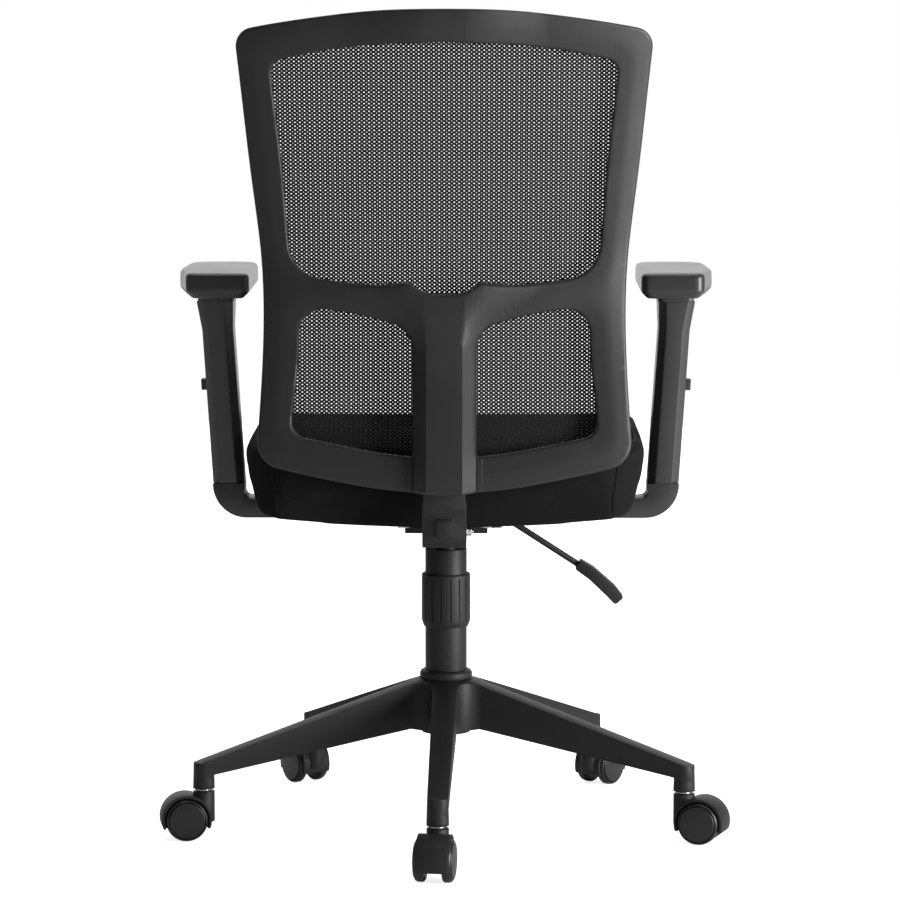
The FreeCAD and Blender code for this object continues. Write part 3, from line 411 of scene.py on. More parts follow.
class Finishes:
    """The chair's materials, each made once when it is first asked for."""

    made = {}

    @classmethod
    def get(cls, name):
        if name not in cls.made:
            cls.made[name] = getattr(cls, name)()
        return cls.made[name]

    @classmethod
    def group(cls, name, builder):
        if name not in cls.made:
            cls.made[name] = builder()
        return cls.made[name]

    @classmethod
    def start(cls, name):
        material = bpy.data.materials.new(name)
        material.use_nodes = True
        tree = material.node_tree
        shader = tree.nodes["Principled BSDF"]
        return material, tree, shader

    @classmethod
    def moulded(cls, name, colour, roughness, scale, depth, variation=0.12, highlight_width=0.25,
                shine=0.5):
        """Moulded black plastic with fine grain and a faint painted highlight along its sharp
        edges.
        """
        material, tree, shader = cls.start(name)
        grain = add_node(tree, "ShaderNodeGroup")
        grain.node_tree = cls.group("moulded_grain", moulded_grain_group)
        grain.inputs["Scale"].default_value = scale
        grain.inputs["Colour"].default_value = (*colour, 1)
        grain.inputs["Roughness"].default_value = roughness
        grain.inputs["Variation"].default_value = variation
        edges = add_node(tree, "ShaderNodeGroup")
        edges.node_tree = cls.group("painted_edge_highlight", painted_highlight_group)
        edges.inputs["Width"].default_value = highlight_width
        mix = add_node(tree, "ShaderNodeMix", data_type="RGBA")
        tree.links.new(edges.outputs["Mask"], mix.inputs["Factor"])
        tree.links.new(grain.outputs["Colour"], mix.inputs[6])
        # The edges' lighter colour is a painted highlight.
        mix.inputs[7].default_value = (*[c * PAINTED_HIGHLIGHT_GAIN + PAINTED_HIGHLIGHT_LIFT for c in colour], 1)
        tree.links.new(mix.outputs[2], shader.inputs["Base Color"])
        tree.links.new(grain.outputs["Roughness"], shader.inputs["Roughness"])
        bump = add_node(tree, "ShaderNodeBump")
        bump.inputs["Strength"].default_value = 0.35
        bump.inputs["Distance"].default_value = depth
        tree.links.new(grain.outputs["Height"], bump.inputs["Height"])
        tree.links.new(bump.outputs["Normal"], shader.inputs["Normal"])
        shader.inputs["Specular IOR Level"].default_value = shine
        return material

    @classmethod
    def colour(cls, name):
        return tuple(getattr(bpy.context.scene.chair_finish, name))

    @classmethod
    def back_plastic(cls):
        return cls.moulded("back_plastic", cls.colour("back"), 0.46, 1500.0, 0.00006,
                           shine=0.38)

    @classmethod
    def arm_plastic(cls):
        return cls.moulded("arm_plastic", cls.colour("arms"), 0.38, 1400.0, 0.00006)

    @classmethod
    def base_plastic(cls):
        return cls.moulded("base_plastic", cls.colour("base"), 0.56, 1300.0, 0.00008,
                           shine=0.34)

    @classmethod
    def wheel_plastic(cls):
        return cls.moulded("wheel_plastic", cls.colour("wheels"), 0.36, 1500.0, 0.00005)

    @classmethod
    def pad_plastic(cls):
        return cls.moulded("pad_skin", cls.colour("pads"), 0.35, 900.0, 0.00012, highlight_width=0.05)

    @classmethod
    def painted_steel(cls):
        return cls.moulded("painted_steel", cls.colour("steel"), 0.52, 700.0, 0.00004,
                           variation=0.08, shine=0.30)

    @classmethod
    def bare_steel(cls):
        material, tree, shader = cls.start("bare_steel")
        shader.inputs["Metallic"].default_value = 1.0
        place = add_node(tree, "ShaderNodeTexCoord")
        stretch = add_node(tree, "ShaderNodeMapping")
        stretch.inputs["Scale"].default_value = (300, 300, 4000)
        noise = add_node(tree, "ShaderNodeTexNoise")
        noise.inputs["Scale"].default_value = 1.0
        ramp = add_node(tree, "ShaderNodeMapRange")
        ramp.inputs["To Min"].default_value = 0.22
        ramp.inputs["To Max"].default_value = 0.42
        tint = add_node(tree, "ShaderNodeMix", data_type="RGBA")
        tint.inputs[6].default_value = (0.50, 0.50, 0.51, 1)
        tint.inputs[7].default_value = (0.62, 0.62, 0.63, 1)
        tree.links.new(place.outputs["Object"], stretch.inputs["Vector"])
        tree.links.new(stretch.outputs["Vector"], noise.inputs["Vector"])
        tree.links.new(noise.outputs["Fac"], ramp.inputs["Value"])
        tree.links.new(noise.outputs["Fac"], tint.inputs["Factor"])
        tree.links.new(tint.outputs[2], shader.inputs["Base Color"])
        tree.links.new(ramp.outputs["Result"], shader.inputs["Roughness"])
        return material

    @classmethod
    def plywood(cls):
        material, tree, shader = cls.start("plywood")
        place = add_node(tree, "ShaderNodeTexCoord")
        stretch = add_node(tree, "ShaderNodeMapping")
        stretch.inputs["Scale"].default_value = (60, 4, 60)
        noise = add_node(tree, "ShaderNodeTexNoise")
        noise.inputs["Scale"].default_value = 1.0
        noise.inputs["Detail"].default_value = 5.0
        tint = add_node(tree, "ShaderNodeMix", data_type="RGBA")
        tint.inputs[6].default_value = (0.30, 0.20, 0.11, 1)
        tint.inputs[7].default_value = (0.47, 0.34, 0.20, 1)
        tree.links.new(place.outputs["Object"], stretch.inputs["Vector"])
        tree.links.new(stretch.outputs["Vector"], noise.inputs["Vector"])
        tree.links.new(noise.outputs["Fac"], tint.inputs["Factor"])
        tree.links.new(tint.outputs[2], shader.inputs["Base Color"])
        shader.inputs["Roughness"].default_value = 0.7
        return material

    @classmethod
    def cloth(cls, name, part, threads, depth, sheen):
        """Plain woven cloth or yarn in the two colours of a part."""
        material, tree, shader = cls.start(name)
        weave = add_node(tree, "ShaderNodeGroup")
        weave.node_tree = cls.group("weave", weave_group)
        weave.inputs["Threads"].default_value = threads
        tint = add_node(tree, "ShaderNodeMix", data_type="RGBA")
        tint.inputs[6].default_value = (*cls.colour(part + "_dark"), 1)
        tint.inputs[7].default_value = (*cls.colour(part + "_light"), 1)
        tree.links.new(weave.outputs["Mask"], tint.inputs["Factor"])
        tree.links.new(tint.outputs[2], shader.inputs["Base Color"])
        bump = add_node(tree, "ShaderNodeBump")
        bump.inputs["Strength"].default_value = 0.5
        bump.inputs["Distance"].default_value = depth
        tree.links.new(weave.outputs["Height"], bump.inputs["Height"])
        tree.links.new(bump.outputs["Normal"], shader.inputs["Normal"])
        shader.inputs["Roughness"].default_value = 0.95
        shader.inputs["Specular IOR Level"].default_value = 0.03
        shader.inputs["Sheen Weight"].default_value = sheen
        shader.inputs["Sheen Roughness"].default_value = 0.5
        return material

    @classmethod
    def seat_cloth(cls):
        return cls.cloth("seat_cloth", "seat", 800.0, 0.0003, 0.008)

    @classmethod
    def seam_yarn(cls):
        return cls.cloth("seam_yarn", "seam", 2400.0, 0.0002, 0.1)

    @classmethod
    def net_yarn(cls):
        return cls.cloth("net_yarn", "net", 1800.0, 0.0002, 0.1)


# ------------------------------------------------------------------ surface of the back

PROFILE_LEVELS = SmoothRun(BACK_PROFILE).spread(0.002)
# The back is nearly flat across beside the seat and rounder from the mid rail upwards.
LOW_WRAP, HIGH_WRAP = 1.500, 0.650
WRAP_START, WRAP_SPAN = 0.480, 0.240
CREST, SHOULDER_X, SHOULDER_DROP, FOOT_X = 0.980, 0.2365, 0.0245, 0.2165

# The spine's slopes flare out into the mid rail.
FLARE_START, FLARE_SPAN = 0.590, 0.075
FLARE_FACE, FLARE_WIDTH = 0.004, 0.075
FLARE_CURVE, FLARE_EASE = 1.8, 0.55

# Rings of faces just inside the frame's edges, and the straight cuts that let it bend.
EDGE_RINGS = (0.0004, 0.0009, 0.0018)
SHELL_COLUMNS = np.arange(-0.232, 0.233, 0.0065)
SHELL_ROWS = np.arange(0.433, 0.979, 0.0065)
CROWN, CROWN_REACH = 0.0016, 0.022
FRONT_RIM_SHARE = 0.7
STRIP_CUT, STRIP_WIDTH, STRIP_TOP, STRIP_RISE = 0.006, 0.0065, 0.470, 0.0010

# The net is a lattice of this many cells along each diagonal; its border stays uncut.
LATTICE_CELLS, LATTICE_MIDDLE, LATTICE_MARGIN = 190, 0.700, 0.006
BIG_HOLE_THREAD, SMALL_HOLE_THREAD, WHOLE_CELL = 0.00095, 0.00122, 0.95
BORDER_INSET, BORDER_GAP = 0.007, 0.0009
BORDER_COLUMNS = np.arange(-0.228, 0.229, 0.012)
BORDER_ROWS = np.arange(0.438, 0.975, 0.012)


def front_y(z):
    return np.interp(z, PROFILE_LEVELS[:, 0], PROFILE_LEVELS[:, 1])


def wrap_radius(z):
    return LOW_WRAP + ease((z - WRAP_START) / WRAP_SPAN) * (HIGH_WRAP - LOW_WRAP)


def front_surface(x, z):
    return front_y(z) - x ** 2 / (2 * wrap_radius(z))


def outer_outline(inset=0.0):
    """The frame's outer edge, or a line inside it at this distance."""
    crest, corner_x, low_x = CREST - inset, SHOULDER_X - inset, FOOT_X - inset
    shoulder = (corner_x, crest - SHOULDER_DROP)
    top = [(0, crest), (0.078, crest - 0.0020), (0.145, crest - 0.0092),
           (0.2100 - inset, crest - 0.0192), shoulder]
    side = [shoulder, (0.2290 - inset, 0.879), (0.2195 - inset, 0.786),
            (0.2095 - inset, 0.694), (0.2075 - inset, 0.625), (0.210 - inset, 0.556),
            (low_x, 0.463 + inset)]
    foot = [(low_x, 0.463 + inset), (0.160, 0.450 + inset), (0.117, 0.4417 + inset),
            (0.080, 0.4356 + inset), (0, 0.429 + inset)]
    return rounded_loop(mirrored_runs([top, side, foot]), [0.019, 0.026, 0, 0.026, 0.019, 0])


def upper_window_outline():
    top = [(0, 0.943), (0.086, 0.9395), (0.150, 0.931), (0.1965, 0.921)]
    side = [(0.1965, 0.921), (0.1925, 0.876), (0.1870, 0.826), (0.1815, 0.7576), (0.176, 0.678)]
    rail = [(0.176, 0.678), (0.125, 0.6716), (0.074, 0.6678), (0.041, 0.6708)]
    scoop = [(0.041, 0.6708), (0.032, 0.6645), (0.023, 0.6598), (0, 0.6573)]
    return rounded_loop(mirrored_runs([top, side, rail, scoop]),
                        [0.012, 0.034, 0.004, 0, 0.004, 0.034, 0.012, 0])


def lower_window_outline(side):
    inner = [(0.0368, 0.471), (0.0368, 0.545), (0.0368, 0.617)]
    top = [(0.0368, 0.617), (0.097, 0.6335), (0.125, 0.6383), (0.1665, 0.640)]
    outer = [(0.1665, 0.640), (0.170, 0.556), (0.1735, 0.529), (0.1755, 0.4945)]
    foot = [(0.1755, 0.4945), (0.1075, 0.481), (0.071, 0.4746), (0.0368, 0.471)]
    loop = rounded_loop([inner, top, outer, foot], [0.023, 0.028, 0.015, 0.002])
    return loop * (side, 1)


def back_outlines():
    return [outer_outline(), upper_window_outline(), lower_window_outline(1),
            lower_window_outline(-1)]


def outline_sheet(name, loops):
    """Flat sheet in the XZ plane, filled between an outer outline and the holes inside it."""
    parts = []
    for loop in loops:
        bpy.ops.mesh.primitive_circle_add(vertices=len(loop), radius=0.1)
        ring = bpy.context.active_object
        set_points(ring, np.stack([loop[:, 0], np.zeros(len(loop)), loop[:, 1]], axis=1))
        ring.location = (0, 0, 0)
        parts.append(ring)
    deselect_all()
    for ring in parts:
        ring.select_set(True)
    bpy.context.view_layer.objects.active = parts[0]
    bpy.ops.object.join()
    sheet = name_piece(name)
    edit(sheet, "EDGE")
    bpy.ops.mesh.fill(use_beauty=True)
    leave_edit()
    return sheet


def cut_lines(piece, xs, zs):
    """Straight cuts across the sheet, so that it can bend."""
    edit(piece)
    for x in xs:
        bpy.ops.mesh.select_all(action="SELECT")
        bpy.ops.mesh.bisect(plane_co=(float(x), 0, 0), plane_no=(1, 0, 0))
    for z in zs:
        bpy.ops.mesh.select_all(action="SELECT")
        bpy.ops.mesh.bisect(plane_co=(0, 0, float(z)), plane_no=(0, 0, 1))
    leave_edit()


def ease(value):
    value = np.clip(value, 0, 1)
    return value * value * (3 - 2 * value)


def rim(distance, radius):
    """How far a rounded rim falls back at this distance from the outline."""
    gap = np.clip(radius - distance, 0, radius)
    return radius - np.sqrt(np.maximum(radius ** 2 - gap ** 2, 0))


def spine_rise(x, z, settings):
    """Height of the spine above the rear face: flat top, sloping sides, flared at the rail."""
    reach = np.abs(x)
    flare = np.clip((z - FLARE_START) / FLARE_SPAN, 0, 1)
    face = settings.spine_face / 2 + FLARE_FACE * flare
    root = settings.spine_width / 2 - settings.spine_face / 2
    slope_width = root + FLARE_WIDTH * flare ** FLARE_CURVE
    share = np.clip(1 - (reach - face) / slope_width, 0, 1)
    bent = share * (1 - FLARE_EASE * flare) + ease(share) * FLARE_EASE * flare
    return settings.spine_depth * bent


class BackSettings(bpy.types.PropertyGroup):
    thickness: bpy.props.FloatProperty(
        name="Thickness", description="Depth of the moulded frame", default=0.020, unit="LENGTH")
    rim_radius: bpy.props.FloatProperty(
        name="Rim radius", description="Rounding of the frame's edges", default=0.0030,
        unit="LENGTH")
    spine_width: bpy.props.FloatProperty(
        name="Spine width", description="Width of the spine at its root", default=0.0736,
        unit="LENGTH")
    spine_face: bpy.props.FloatProperty(
        name="Spine face", description="Width of the spine's flat face", default=0.0414,
        unit="LENGTH")
    spine_depth: bpy.props.FloatProperty(
        name="Spine depth", description="How far the spine stands out", default=0.016,
        unit="LENGTH")
    cell_width: bpy.props.FloatProperty(
        name="Cell width", description="Pitch of the net across", default=0.00564, unit="LENGTH")
    cell_height: bpy.props.FloatProperty(
        name="Cell height", description="Pitch of the net upwards", default=0.0043,
        unit="LENGTH")


class CHAIR_OT_back_frame(bpy.types.Operator):
    """Moulded back frame with its windows, mid rail and raised spine"""

    bl_idname = "chair.back_frame"
    bl_label = "Back frame"

    def execute(self, context):
        settings = context.scene.chair_back
        loops = back_outlines()
        shell = outline_sheet("back_shell", loops)
        edit(shell)
        for width in EDGE_RINGS:
            bpy.ops.mesh.inset(thickness=width, use_even_offset=True)
        leave_edit()
        half_root = settings.spine_width / 2
        half_face = settings.spine_face / 2
        creases = [-half_root - STRIP_CUT, -half_root, -half_face,
                   half_face, half_root, half_root + STRIP_CUT]
        cut_lines(shell, creases + list(SHELL_COLUMNS), SHELL_ROWS)
        edit(shell)
        bpy.ops.mesh.extrude_region_move(
            TRANSFORM_OT_translate={"value": (0, settings.thickness, 0)})
        leave_edit()
        outward(shell)
        points = points_of(shell)
        x, z = points[:, 0], points[:, 2]
        at_rear = points[:, 1] > settings.thickness / 2
        distance = distance_to(loops, points[:, [0, 2]])
        front = front_surface(x, z)
        crown = CROWN * ease(distance / CROWN_REACH)
        past_root = np.abs(x) - half_root
        low_strip = (past_root > 0) & (past_root < STRIP_WIDTH) & (z < STRIP_TOP)
        rear = front + settings.thickness - CROWN + crown
        rear = rear + spine_rise(x, z, settings) - rim(distance, settings.rim_radius)
        rear = rear + np.where(low_strip, STRIP_RISE, 0)
        near = front + rim(distance, settings.rim_radius * FRONT_RIM_SHARE)
        points[:, 1] = np.where(at_rear, rear, near)
        set_points(shell, points)
        smooth(shell, 32)
        dress(shell, Finishes.get("back_plastic"), "seat", "black_plastic", "back_frame")
        return {"FINISHED"}


class CHAIR_OT_back_net(bpy.types.Operator):
    """Stretched net with its holes, and the plain cloth that is glued round the windows"""

    bl_idname = "chair.back_net"
    bl_label = "Back net"

    def net_cells(self, settings):
        """Diamond lattice of closed cells, trimmed to the windows."""
        wide = settings.cell_width
        high = settings.cell_height
        count = LATTICE_CELLS
        bpy.ops.mesh.primitive_grid_add(x_subdivisions=count, y_subdivisions=count, size=1.0)
        net = name_piece("back_net")
        points = points_of(net)
        i = np.round((points[:, 0] + 0.5) * count)
        j = np.round((points[:, 1] + 0.5) * count)
        points[:, 0] = (i + j - count) * wide / 2
        points[:, 2] = LATTICE_MIDDLE + (j - i) * high / 2
        points[:, 1] = 0
        set_points(net, points)
        windows = back_outlines()[1:]
        centres = np.array([face.center[:] for face in net.data.polygons])[:, [0, 2]]
        wanted = distance_to(windows, centres) < LATTICE_MARGIN
        for window in windows:
            wanted |= inside_loop(window, centres)
        pick_faces(net, ~wanted)
        bpy.ops.mesh.delete(type="FACE")
        leave_edit()
        return net

    def open_cells(self, net, cells, thread):
        """Leaves only a border of thread of each of these cells."""
        pick_faces(net, cells)
        bpy.ops.mesh.inset(thickness=thread, use_individual=True, use_even_offset=True)
        bpy.ops.mesh.delete(type="FACE")
        leave_edit()

    def open_holes(self, net, settings):
        """Large holes in every other column of cells, and small ones in the columns between."""
        wide = settings.cell_width
        high = settings.cell_height
        column = np.array([round(2 * face.center[0] / wide) for face in net.data.polygons])
        self.open_cells(net, column % 2 == 0, BIG_HOLE_THREAD)
        areas = np.array([face.area for face in net.data.polygons])
        self.open_cells(net, areas > WHOLE_CELL * wide * high / 2, SMALL_HOLE_THREAD)

    def execute(self, context):
        settings = context.scene.chair_back
        net = self.net_cells(settings)
        self.open_holes(net, settings)
        loops = [outer_outline(BORDER_INSET)] + back_outlines()[1:]
        border = outline_sheet("net_border", loops)
        cut_lines(border, BORDER_COLUMNS, BORDER_ROWS)
        deselect_all()
        border.select_set(True)
        net.select_set(True)
        context.view_layer.objects.active = net
        bpy.ops.object.join()
        net = name_piece("back_net")
        points = points_of(net)
        points[:, 1] = front_surface(points[:, 0], points[:, 2]) - BORDER_GAP
        set_points(net, points)
        edit(net)
        bpy.ops.mesh.normals_make_consistent(inside=False)
        leave_edit()
        dress(net, Finishes.get("net_yarn"), "seat", "mesh_fabric", "mesh_panel")
        return {"FINISHED"}


# ------------------------------------------------------------------ seat

SMOOTH_SHARE = 0.5
SEAT_SMOOTHING = 4
SWELL_FRAMES = 16
# Heights are shares of the cushion's: it swells above the first, and tucks in below the second.
SWELL_START, SWELL_SPAN = 0.1, 0.4
TUCK_LEVEL, TUCK_SPAN, TUCK_DEPTH = 0.30, 0.15, 0.0012

# The corner seams start below the top and run inwards as they go down.
SEAM_POINTS, SEAM_TOP, SEAM_LENGTH = 40, 0.004, 0.074
SEAM_X, SEAM_TAPER, SEAM_CURVE, SEAM_REACH = 0.2195, 0.016, 1.5, 0.02
# The top seam is a squared oval.
RIM_POINTS, RIM_REACH, RIM_SQUARENESS, RIM_HEIGHT = 260, 0.226, 5, 0.01


class SeatSettings(bpy.types.PropertyGroup):
    swell: bpy.props.FloatProperty(
        name="Swell", description="Furthest that the cover may swell", default=0.0035,
        unit="LENGTH")
    pressure: bpy.props.FloatProperty(
        name="Pressure", description="Inflation pressure of the foam", default=4.0)
    seam: bpy.props.FloatProperty(
        name="Seam", description="Radius of the sewn seam", default=0.0011, unit="LENGTH")
    cell: bpy.props.FloatProperty(
        name="Cell", description="Size of the cover's mesh", default=0.0055, unit="LENGTH")


def copy_of(name, *nodes):
    """One mesh made of copies of the designed pieces."""
    deselect_all()
    for node in nodes:
        twin = NODES[node].copy()
        twin.data = NODES[node].data.copy()
        twin.modifiers.clear()
        twin.parent = None
        bpy.context.scene.collection.objects.link(twin)
        twin.select_set(True)
        bpy.context.view_layer.objects.active = twin
    if len(nodes) > 1:
        bpy.ops.object.join()
    return name_piece(name)


def normals_of(piece):
    flat = np.empty(len(piece.data.vertices) * 3)
    piece.data.vertex_normals.foreach_get("vector", flat)
    return flat.reshape(-1, 3)


def swell(piece, pressure, limit):
    """Inflates the piece as cloth and returns how far each point swelled, within the limit."""
    start = points_of(piece).copy()
    facing = normals_of(piece)
    cloth = piece.modifiers.new("Cloth", "CLOTH")
    cloth.settings.use_pressure = True
    cloth.settings.uniform_pressure_force = pressure
    cloth.settings.effector_weights.gravity = 0
    cloth.settings.quality = 5
    cloth.settings.tension_stiffness = 25
    cloth.settings.compression_stiffness = 25
    cloth.settings.bending_stiffness = 2
    for number in range(1, SWELL_FRAMES + 1):
        bpy.context.scene.frame_set(number)
    graph = bpy.context.evaluated_depsgraph_get()
    shaped = piece.evaluated_get(graph).to_mesh()
    moved = np.empty(len(shaped.vertices) * 3)
    shaped.vertices.foreach_get("co", moved)
    piece.modifiers.remove(cloth)
    bpy.context.scene.frame_set(1)
    rise = ((moved.reshape(-1, 3) - start) * facing).sum(axis=1, keepdims=True)
    return facing * limit * np.tanh(np.maximum(rise, 0) / limit)


def surface_tree(piece):
    make_active(piece)
    graph = bpy.context.evaluated_depsgraph_get()
    return BVHTree.FromObject(piece, graph)


def sewn_line(name, path, radius, closed):
    """Round bead that follows the points of a path."""
    curve = bpy.data.curves.new(name, "CURVE")
    curve.dimensions = "3D"
    curve.bevel_depth = radius
    curve.bevel_resolution = 2
    curve.use_fill_caps = True
    run = curve.splines.new("POLY")
    run.points.add(len(path) - 1)
    for point, place in zip(run.points, path):
        point.co = (*place, 1)
    run.use_cyclic_u = closed
    bead = bpy.data.objects.new(name, curve)
    bpy.context.scene.collection.objects.link(bead)
    make_active(bead)
    bpy.ops.object.convert(target="MESH")
    bead = name_piece(name)
    smooth(bead, 60)
    return bead


class CHAIR_OT_seat_cushion(bpy.types.Operator):
    """Upholstered seat: swollen by a cloth simulation, wrapped under the pan, with its seams"""

    bl_idname = "chair.seat_cushion"
    bl_label = "Seat cushion"

    def seams(self, cushion, settings):
        """Beads down the rear corners and round the top edge."""
        tree = surface_tree(cushion)
        low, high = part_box("seat_cushion")
        beads = []
        for side in (1, -1):
            path = []
            for share in np.linspace(0, 1, SEAM_POINTS):
                level = high.z - SEAM_TOP - share * SEAM_LENGTH
                lateral = SEAM_X - SEAM_TAPER * ease(share) ** SEAM_CURVE
                aim = Vector((side * float(lateral), high.y + SEAM_REACH, level))
                path.append(tree.find_nearest(aim)[0])
            beads.append(path)
        edge = []
        middle = (low.y + high.y) / 2
        for angle in np.linspace(0, 2 * math.pi, RIM_POINTS, endpoint=False):
            across, along = math.cos(angle), math.sin(angle)
            size = abs(across) ** RIM_SQUARENESS + abs(along) ** RIM_SQUARENESS
            reach = 1 / size ** (1 / RIM_SQUARENESS) * RIM_REACH
            aim = Vector((across * reach, middle + along * reach, high.z + RIM_HEIGHT))
            edge.append(tree.find_nearest(aim)[0])
        for name, path, closed in (("seat_seam_left", beads[0], False),
                                   ("seat_seam_right", beads[1], False),
                                   ("seat_seam_rim", edge, True)):
            bead = sewn_line(name, path, settings.seam, closed)
            dress(bead, Finishes.get("seam_yarn"), "seat", "seat_fabric")

    def execute(self, context):
        settings = context.scene.chair_seat
        low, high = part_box("seat_cushion")
        cushion = copy_of("seat_cover", "seat_cushion", "seat_pan")
        apply_modifier(cushion, "REMESH", mode="VOXEL", voxel_size=settings.cell)
        apply_modifier(cushion, "SMOOTH", factor=SMOOTH_SHARE, iterations=SEAT_SMOOTHING)
        points = points_of(cushion)
        share = (points[:, 2] - low.z) / (high.z - low.z)
        step = swell(cushion, settings.pressure, settings.swell)
        points = points + step * ease((share - SWELL_START) / SWELL_SPAN)[:, None]
        points[:, 2] -= ease((TUCK_LEVEL - share) / TUCK_SPAN) * TUCK_DEPTH
        set_points(cushion, points)
        apply_modifier(cushion, "SUBSURF", levels=1, render_levels=1)
        smooth(cushion, 180)
        dress(cushion, Finishes.get("seat_cloth"), "seat", "seat_fabric", "seat_cushion")
        self.seams(cushion, settings)
        return {"FINISHED"}


# ------------------------------------------------------------------ arms

PAD_SMOOTHING = 5
# The higher the power, the flatter the pad's crown and the nearer the edge where it falls.
CROWN_ACROSS_POWER, CROWN_ALONG_POWER = 4, 6


class ArmSettings(bpy.types.PropertyGroup):
    pad_cell: bpy.props.FloatProperty(
        name="Pad cell", description="Size of the pads' mesh", default=0.0022, unit="LENGTH")
    pad_swell: bpy.props.FloatProperty(
        name="Pad swell", description="How much the pads' top swells", default=0.0012,
        unit="LENGTH")


class CHAIR_OT_arm_pads(bpy.types.Operator):
    """Soft moulded arm pads, a little swollen on top"""

    bl_idname = "chair.arm_pads"
    bl_label = "Arm pads"

    def execute(self, context):
        settings = context.scene.chair_arms
        low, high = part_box("arm_pad_left")
        pad = copy_of("arm_pad_skin_left", "arm_pad_left")
        apply_modifier(pad, "REMESH", mode="VOXEL", voxel_size=settings.pad_cell)
        apply_modifier(pad, "SMOOTH", factor=SMOOTH_SHARE, iterations=PAD_SMOOTHING)
        points = points_of(pad)
        across = (points[:, 0] - (low.x + high.x) / 2) / ((high.x - low.x) / 2)
        along = (points[:, 1] - (low.y + high.y) / 2) / ((high.y - low.y) / 2)
        share = np.clip((points[:, 2] - low.z) / (high.z - low.z), 0, 1)
        crown = (np.clip(1 - across ** CROWN_ACROSS_POWER, 0, 1)
                 * np.clip(1 - along ** CROWN_ALONG_POWER, 0, 1))
        points[:, 2] += settings.pad_swell * crown * ease(share)
        set_points(pad, points)
        smooth(pad, 180)
        twin = mirror_copy(pad, "arm_pad_skin_right")
        for piece, side in ((pad, "left"), (twin, "right")):
            dress(piece, Finishes.get("pad_plastic"), "arm_" + side, "pad_foam",
                  "arm_pad_" + side)
        return {"FINISHED"}


# ------------------------------------------------------------------ design nodes that stay

FINISH_OF_SLOT = {
    "black_plastic": "base_plastic",
    "button_plastic": "arm_plastic",
    "wheel_plastic": "wheel_plastic",
    "pad_foam": "pad_plastic",
    "column_black": "painted_steel",
    "steel": "bare_steel",
    "plywood": "plywood",
    "seat_fabric": "seat_cloth",
    "mesh_fabric": "net_yarn",
}
ARM_NODES = ("arm_sleeve", "arm_bracket", "pad_plate", "arm_button")
WELD_GAP = 0.00002
FLAT_WITHIN = math.radians(0.8)
BEVELLED_PAST = math.radians(32)
SMOOTH_WITHIN = math.radians(30)
SMALL_EDGE = 0.0006
SOFTER_EDGES = {"base_star": 0.0022, "arm_sleeve_left": 0.0012, "arm_sleeve_right": 0.0012,
                "arm_bracket_left": 0.005, "arm_bracket_right": 0.005,
                "lever_handle": 0.002, "back_bracket": 0.0015}


class CHAIR_OT_finish_frame(bpy.types.Operator):
    """Gives every designed piece its material and softly rounded edges"""

    bl_idname = "chair.finish_frame"
    bl_label = "Finish the designed pieces"

    def execute(self, context):
        slot_of = {item["node"]: item["material_slot"] for item in frame["record"]["subparts"]}
        for name, node in NODES.items():
            finish = FINISH_OF_SLOT[slot_of[name]]
            if name.startswith(ARM_NODES):
                finish = "arm_plastic"
            node.data.materials.clear()
            node.data.materials.append(Finishes.get(finish))
            for face in node.data.polygons:
                face.material_index = 0
            weld = node.modifiers.new("Weld", "WELD")
            weld.merge_threshold = WELD_GAP
            flat = node.modifiers.new("Flat", "DECIMATE")
            flat.decimate_type = "DISSOLVE"
            flat.angle_limit = FLAT_WITHIN
            bevel = node.modifiers.new("Bevel", "BEVEL")
            bevel.width = SOFTER_EDGES.get(name, SMALL_EDGE)
            bevel.segments = 2
            bevel.limit_method = "ANGLE"
            bevel.angle_limit = BEVELLED_PAST
            bevel.miter_outer = "MITER_ARC"
            make_active(node)
            bpy.ops.object.shade_smooth_by_angle(angle=SMOOTH_WITHIN)
        return {"FINISHED"}


# ------------------------------------------------------------------ stage

FLOOR_SIZE, FLOOR_TONE, FLOOR_GLOW = 60, 0.9, 0.80
AIM_X = -0.0048
SENSOR = 36.0
# Each lamp's name, place, target, width, height and watts.
LAMPS = (("key", (-2.8, 1.6, 0.8), (0, 0.1, 0.6), 1.0, 1.6, 150),
         ("backdrop", (0, -4.5, 1.6), (0, 0, 0.7), 6.0, 3.2, 75),
         ("top", (0, -0.6, 3.2), (0, 0, 0.5), 2.4, 2.4, 45))


class StageSettings(bpy.types.PropertyGroup):
    distance: bpy.props.FloatProperty(
        name="Distance", description="Camera to the column's axis", default=4.545,
        unit="LENGTH")
    height: bpy.props.FloatProperty(
        name="Height", description="Height of the camera", default=0.9516, unit="LENGTH")
    turn: bpy.props.FloatProperty(
        name="Turn", description="Turn of the camera from straight behind the chair",
        default=math.radians(0.5), subtype="ANGLE")
    pitch: bpy.props.FloatProperty(
        name="Pitch", description="Downward tilt of the camera", default=0.1087,
        subtype="ANGLE")
    lens: bpy.props.FloatProperty(
        name="Lens", description="Focal length on a 36 mm sensor", default=152.3)
    surround: bpy.props.FloatProperty(
        name="Surround", description="Light that the white surround gives the chair",
        default=0.22, min=0.0, max=1.0)


def area_light(name, place, target, width, height, watts):
    bpy.ops.object.light_add(type="AREA", location=place)
    light = bpy.context.active_object
    light.name = name
    light.data.shape = "RECTANGLE"
    light.data.size = width
    light.data.size_y = height
    light.data.energy = watts
    aim = Vector(target) - Vector(place)
    light.rotation_euler = aim.to_track_quat("-Z", "Y").to_euler()
    light.visible_camera = False


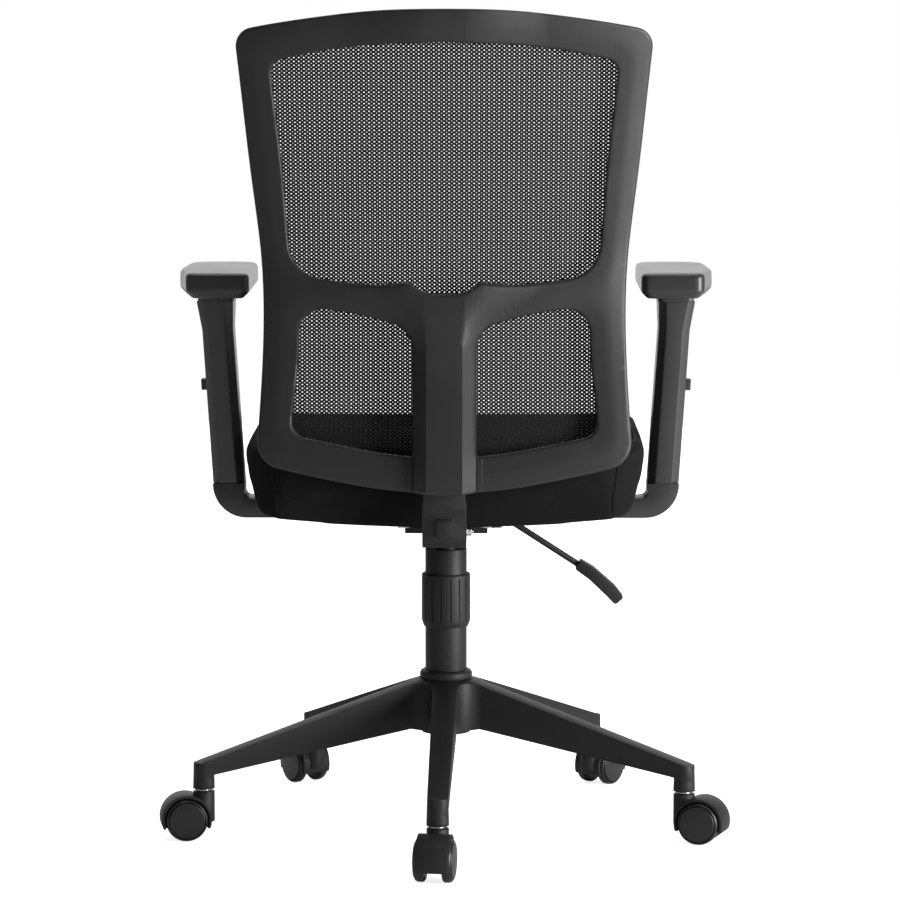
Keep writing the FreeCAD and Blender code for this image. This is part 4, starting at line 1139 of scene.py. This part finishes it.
class CHAIR_OT_stage(bpy.types.Operator):
    """Pale floor, soft studio light and the camera behind the chair"""

    bl_idname = "chair.stage"
    bl_label = "Stage"

    def lay_floor(self):
        """Pale floor that also glows a little to the camera, so that it meets the surround."""
        deselect_all()
        bpy.ops.mesh.primitive_plane_add(size=FLOOR_SIZE)
        floor = name_piece("studio_floor")
        material, tree, shader = Finishes.start("studio_floor")
        shader.inputs["Base Color"].default_value = (FLOOR_TONE, FLOOR_TONE, FLOOR_TONE, 1)
        shader.inputs["Roughness"].default_value = 0.9
        shader.inputs["Emission Color"].default_value = (1, 1, 1, 1)
        rays = add_node(tree, "ShaderNodeLightPath")
        glow = math_node(tree, "MULTIPLY", rays.outputs["Is Camera Ray"], FLOOR_GLOW)
        tree.links.new(glow, shader.inputs["Emission Strength"])
        floor.data.materials.append(material)

    def hang_surround(self, scene, strength):
        """White surround, at full strength to the camera and at this strength to the chair."""
        scene.world = bpy.data.worlds.new("studio")
        scene.world.use_nodes = True
        tree = scene.world.node_tree
        back = tree.nodes["Background"]
        back.inputs["Color"].default_value = (1, 1, 1, 1)
        rays = add_node(tree, "ShaderNodeLightPath")
        share = math_node(tree, "MULTIPLY_ADD", rays.outputs["Is Camera Ray"],
                          1.0 - strength, strength)
        tree.links.new(share, back.inputs["Strength"])

    def place_camera(self, scene, settings):
        place = Vector((-math.sin(settings.turn) * settings.distance,
                        math.cos(settings.turn) * settings.distance, settings.height))
        bpy.ops.object.camera_add(location=place)
        camera = bpy.context.active_object
        camera.name = "studio_camera"
        camera.data.lens = settings.lens
        camera.data.sensor_width = SENSOR
        drop = settings.distance * math.tan(settings.pitch)
        aim = Vector((AIM_X, 0, settings.height - drop)) - place
        camera.rotation_euler = aim.to_track_quat("-Z", "Y").to_euler()
        scene.camera = camera

    def execute(self, context):
        settings = context.scene.chair_stage
        self.lay_floor()
        self.hang_surround(context.scene, settings.surround)
        for lamp in LAMPS:
            area_light(*lamp)
        self.place_camera(context.scene, settings)
        context.scene.view_settings.view_transform = "Standard"
        return {"FINISHED"}


class CHAIR_PT_panel(bpy.types.Panel):
    bl_idname = "CHAIR_PT_panel"
    bl_label = "Office chair"
    bl_space_type = "VIEW_3D"
    bl_region_type = "UI"
    bl_category = "Chair"

    def draw(self, context):
        scene = context.scene
        for group in SETTINGS:
            settings = getattr(scene, group)
            box = self.layout.box()
            for name in settings.__annotations__:
                box.prop(settings, name)
        for operator in OPERATORS:
            self.layout.operator(operator.bl_idname)


SETTINGS = {"chair_finish": FinishSettings, "chair_back": BackSettings,
            "chair_seat": SeatSettings, "chair_arms": ArmSettings,
            "chair_stage": StageSettings}
OPERATORS = (CHAIR_OT_finish_frame, CHAIR_OT_back_frame, CHAIR_OT_back_net,
             CHAIR_OT_seat_cushion, CHAIR_OT_arm_pads, CHAIR_OT_stage)


def register():
    for group in SETTINGS.values():
        bpy.utils.register_class(group)
    for operator in OPERATORS:
        bpy.utils.register_class(operator)
    bpy.utils.register_class(CHAIR_PT_panel)
    for name, group in SETTINGS.items():
        setattr(bpy.types.Scene, name, bpy.props.PointerProperty(type=group))


def unregister():
    for name in SETTINGS:
        delattr(bpy.types.Scene, name)
    bpy.utils.unregister_class(CHAIR_PT_panel)
    for operator in reversed(OPERATORS):
        bpy.utils.unregister_class(operator)
    for group in SETTINGS.values():
        bpy.utils.unregister_class(group)


def main():
    register()
    bpy.ops.chair.finish_frame()
    bpy.ops.chair.back_frame()
    bpy.ops.chair.back_net()
    bpy.ops.chair.seat_cushion()
    bpy.ops.chair.arm_pads()
    bpy.ops.chair.stage()
    deselect_all()


if __name__ == "__main__":
    main()
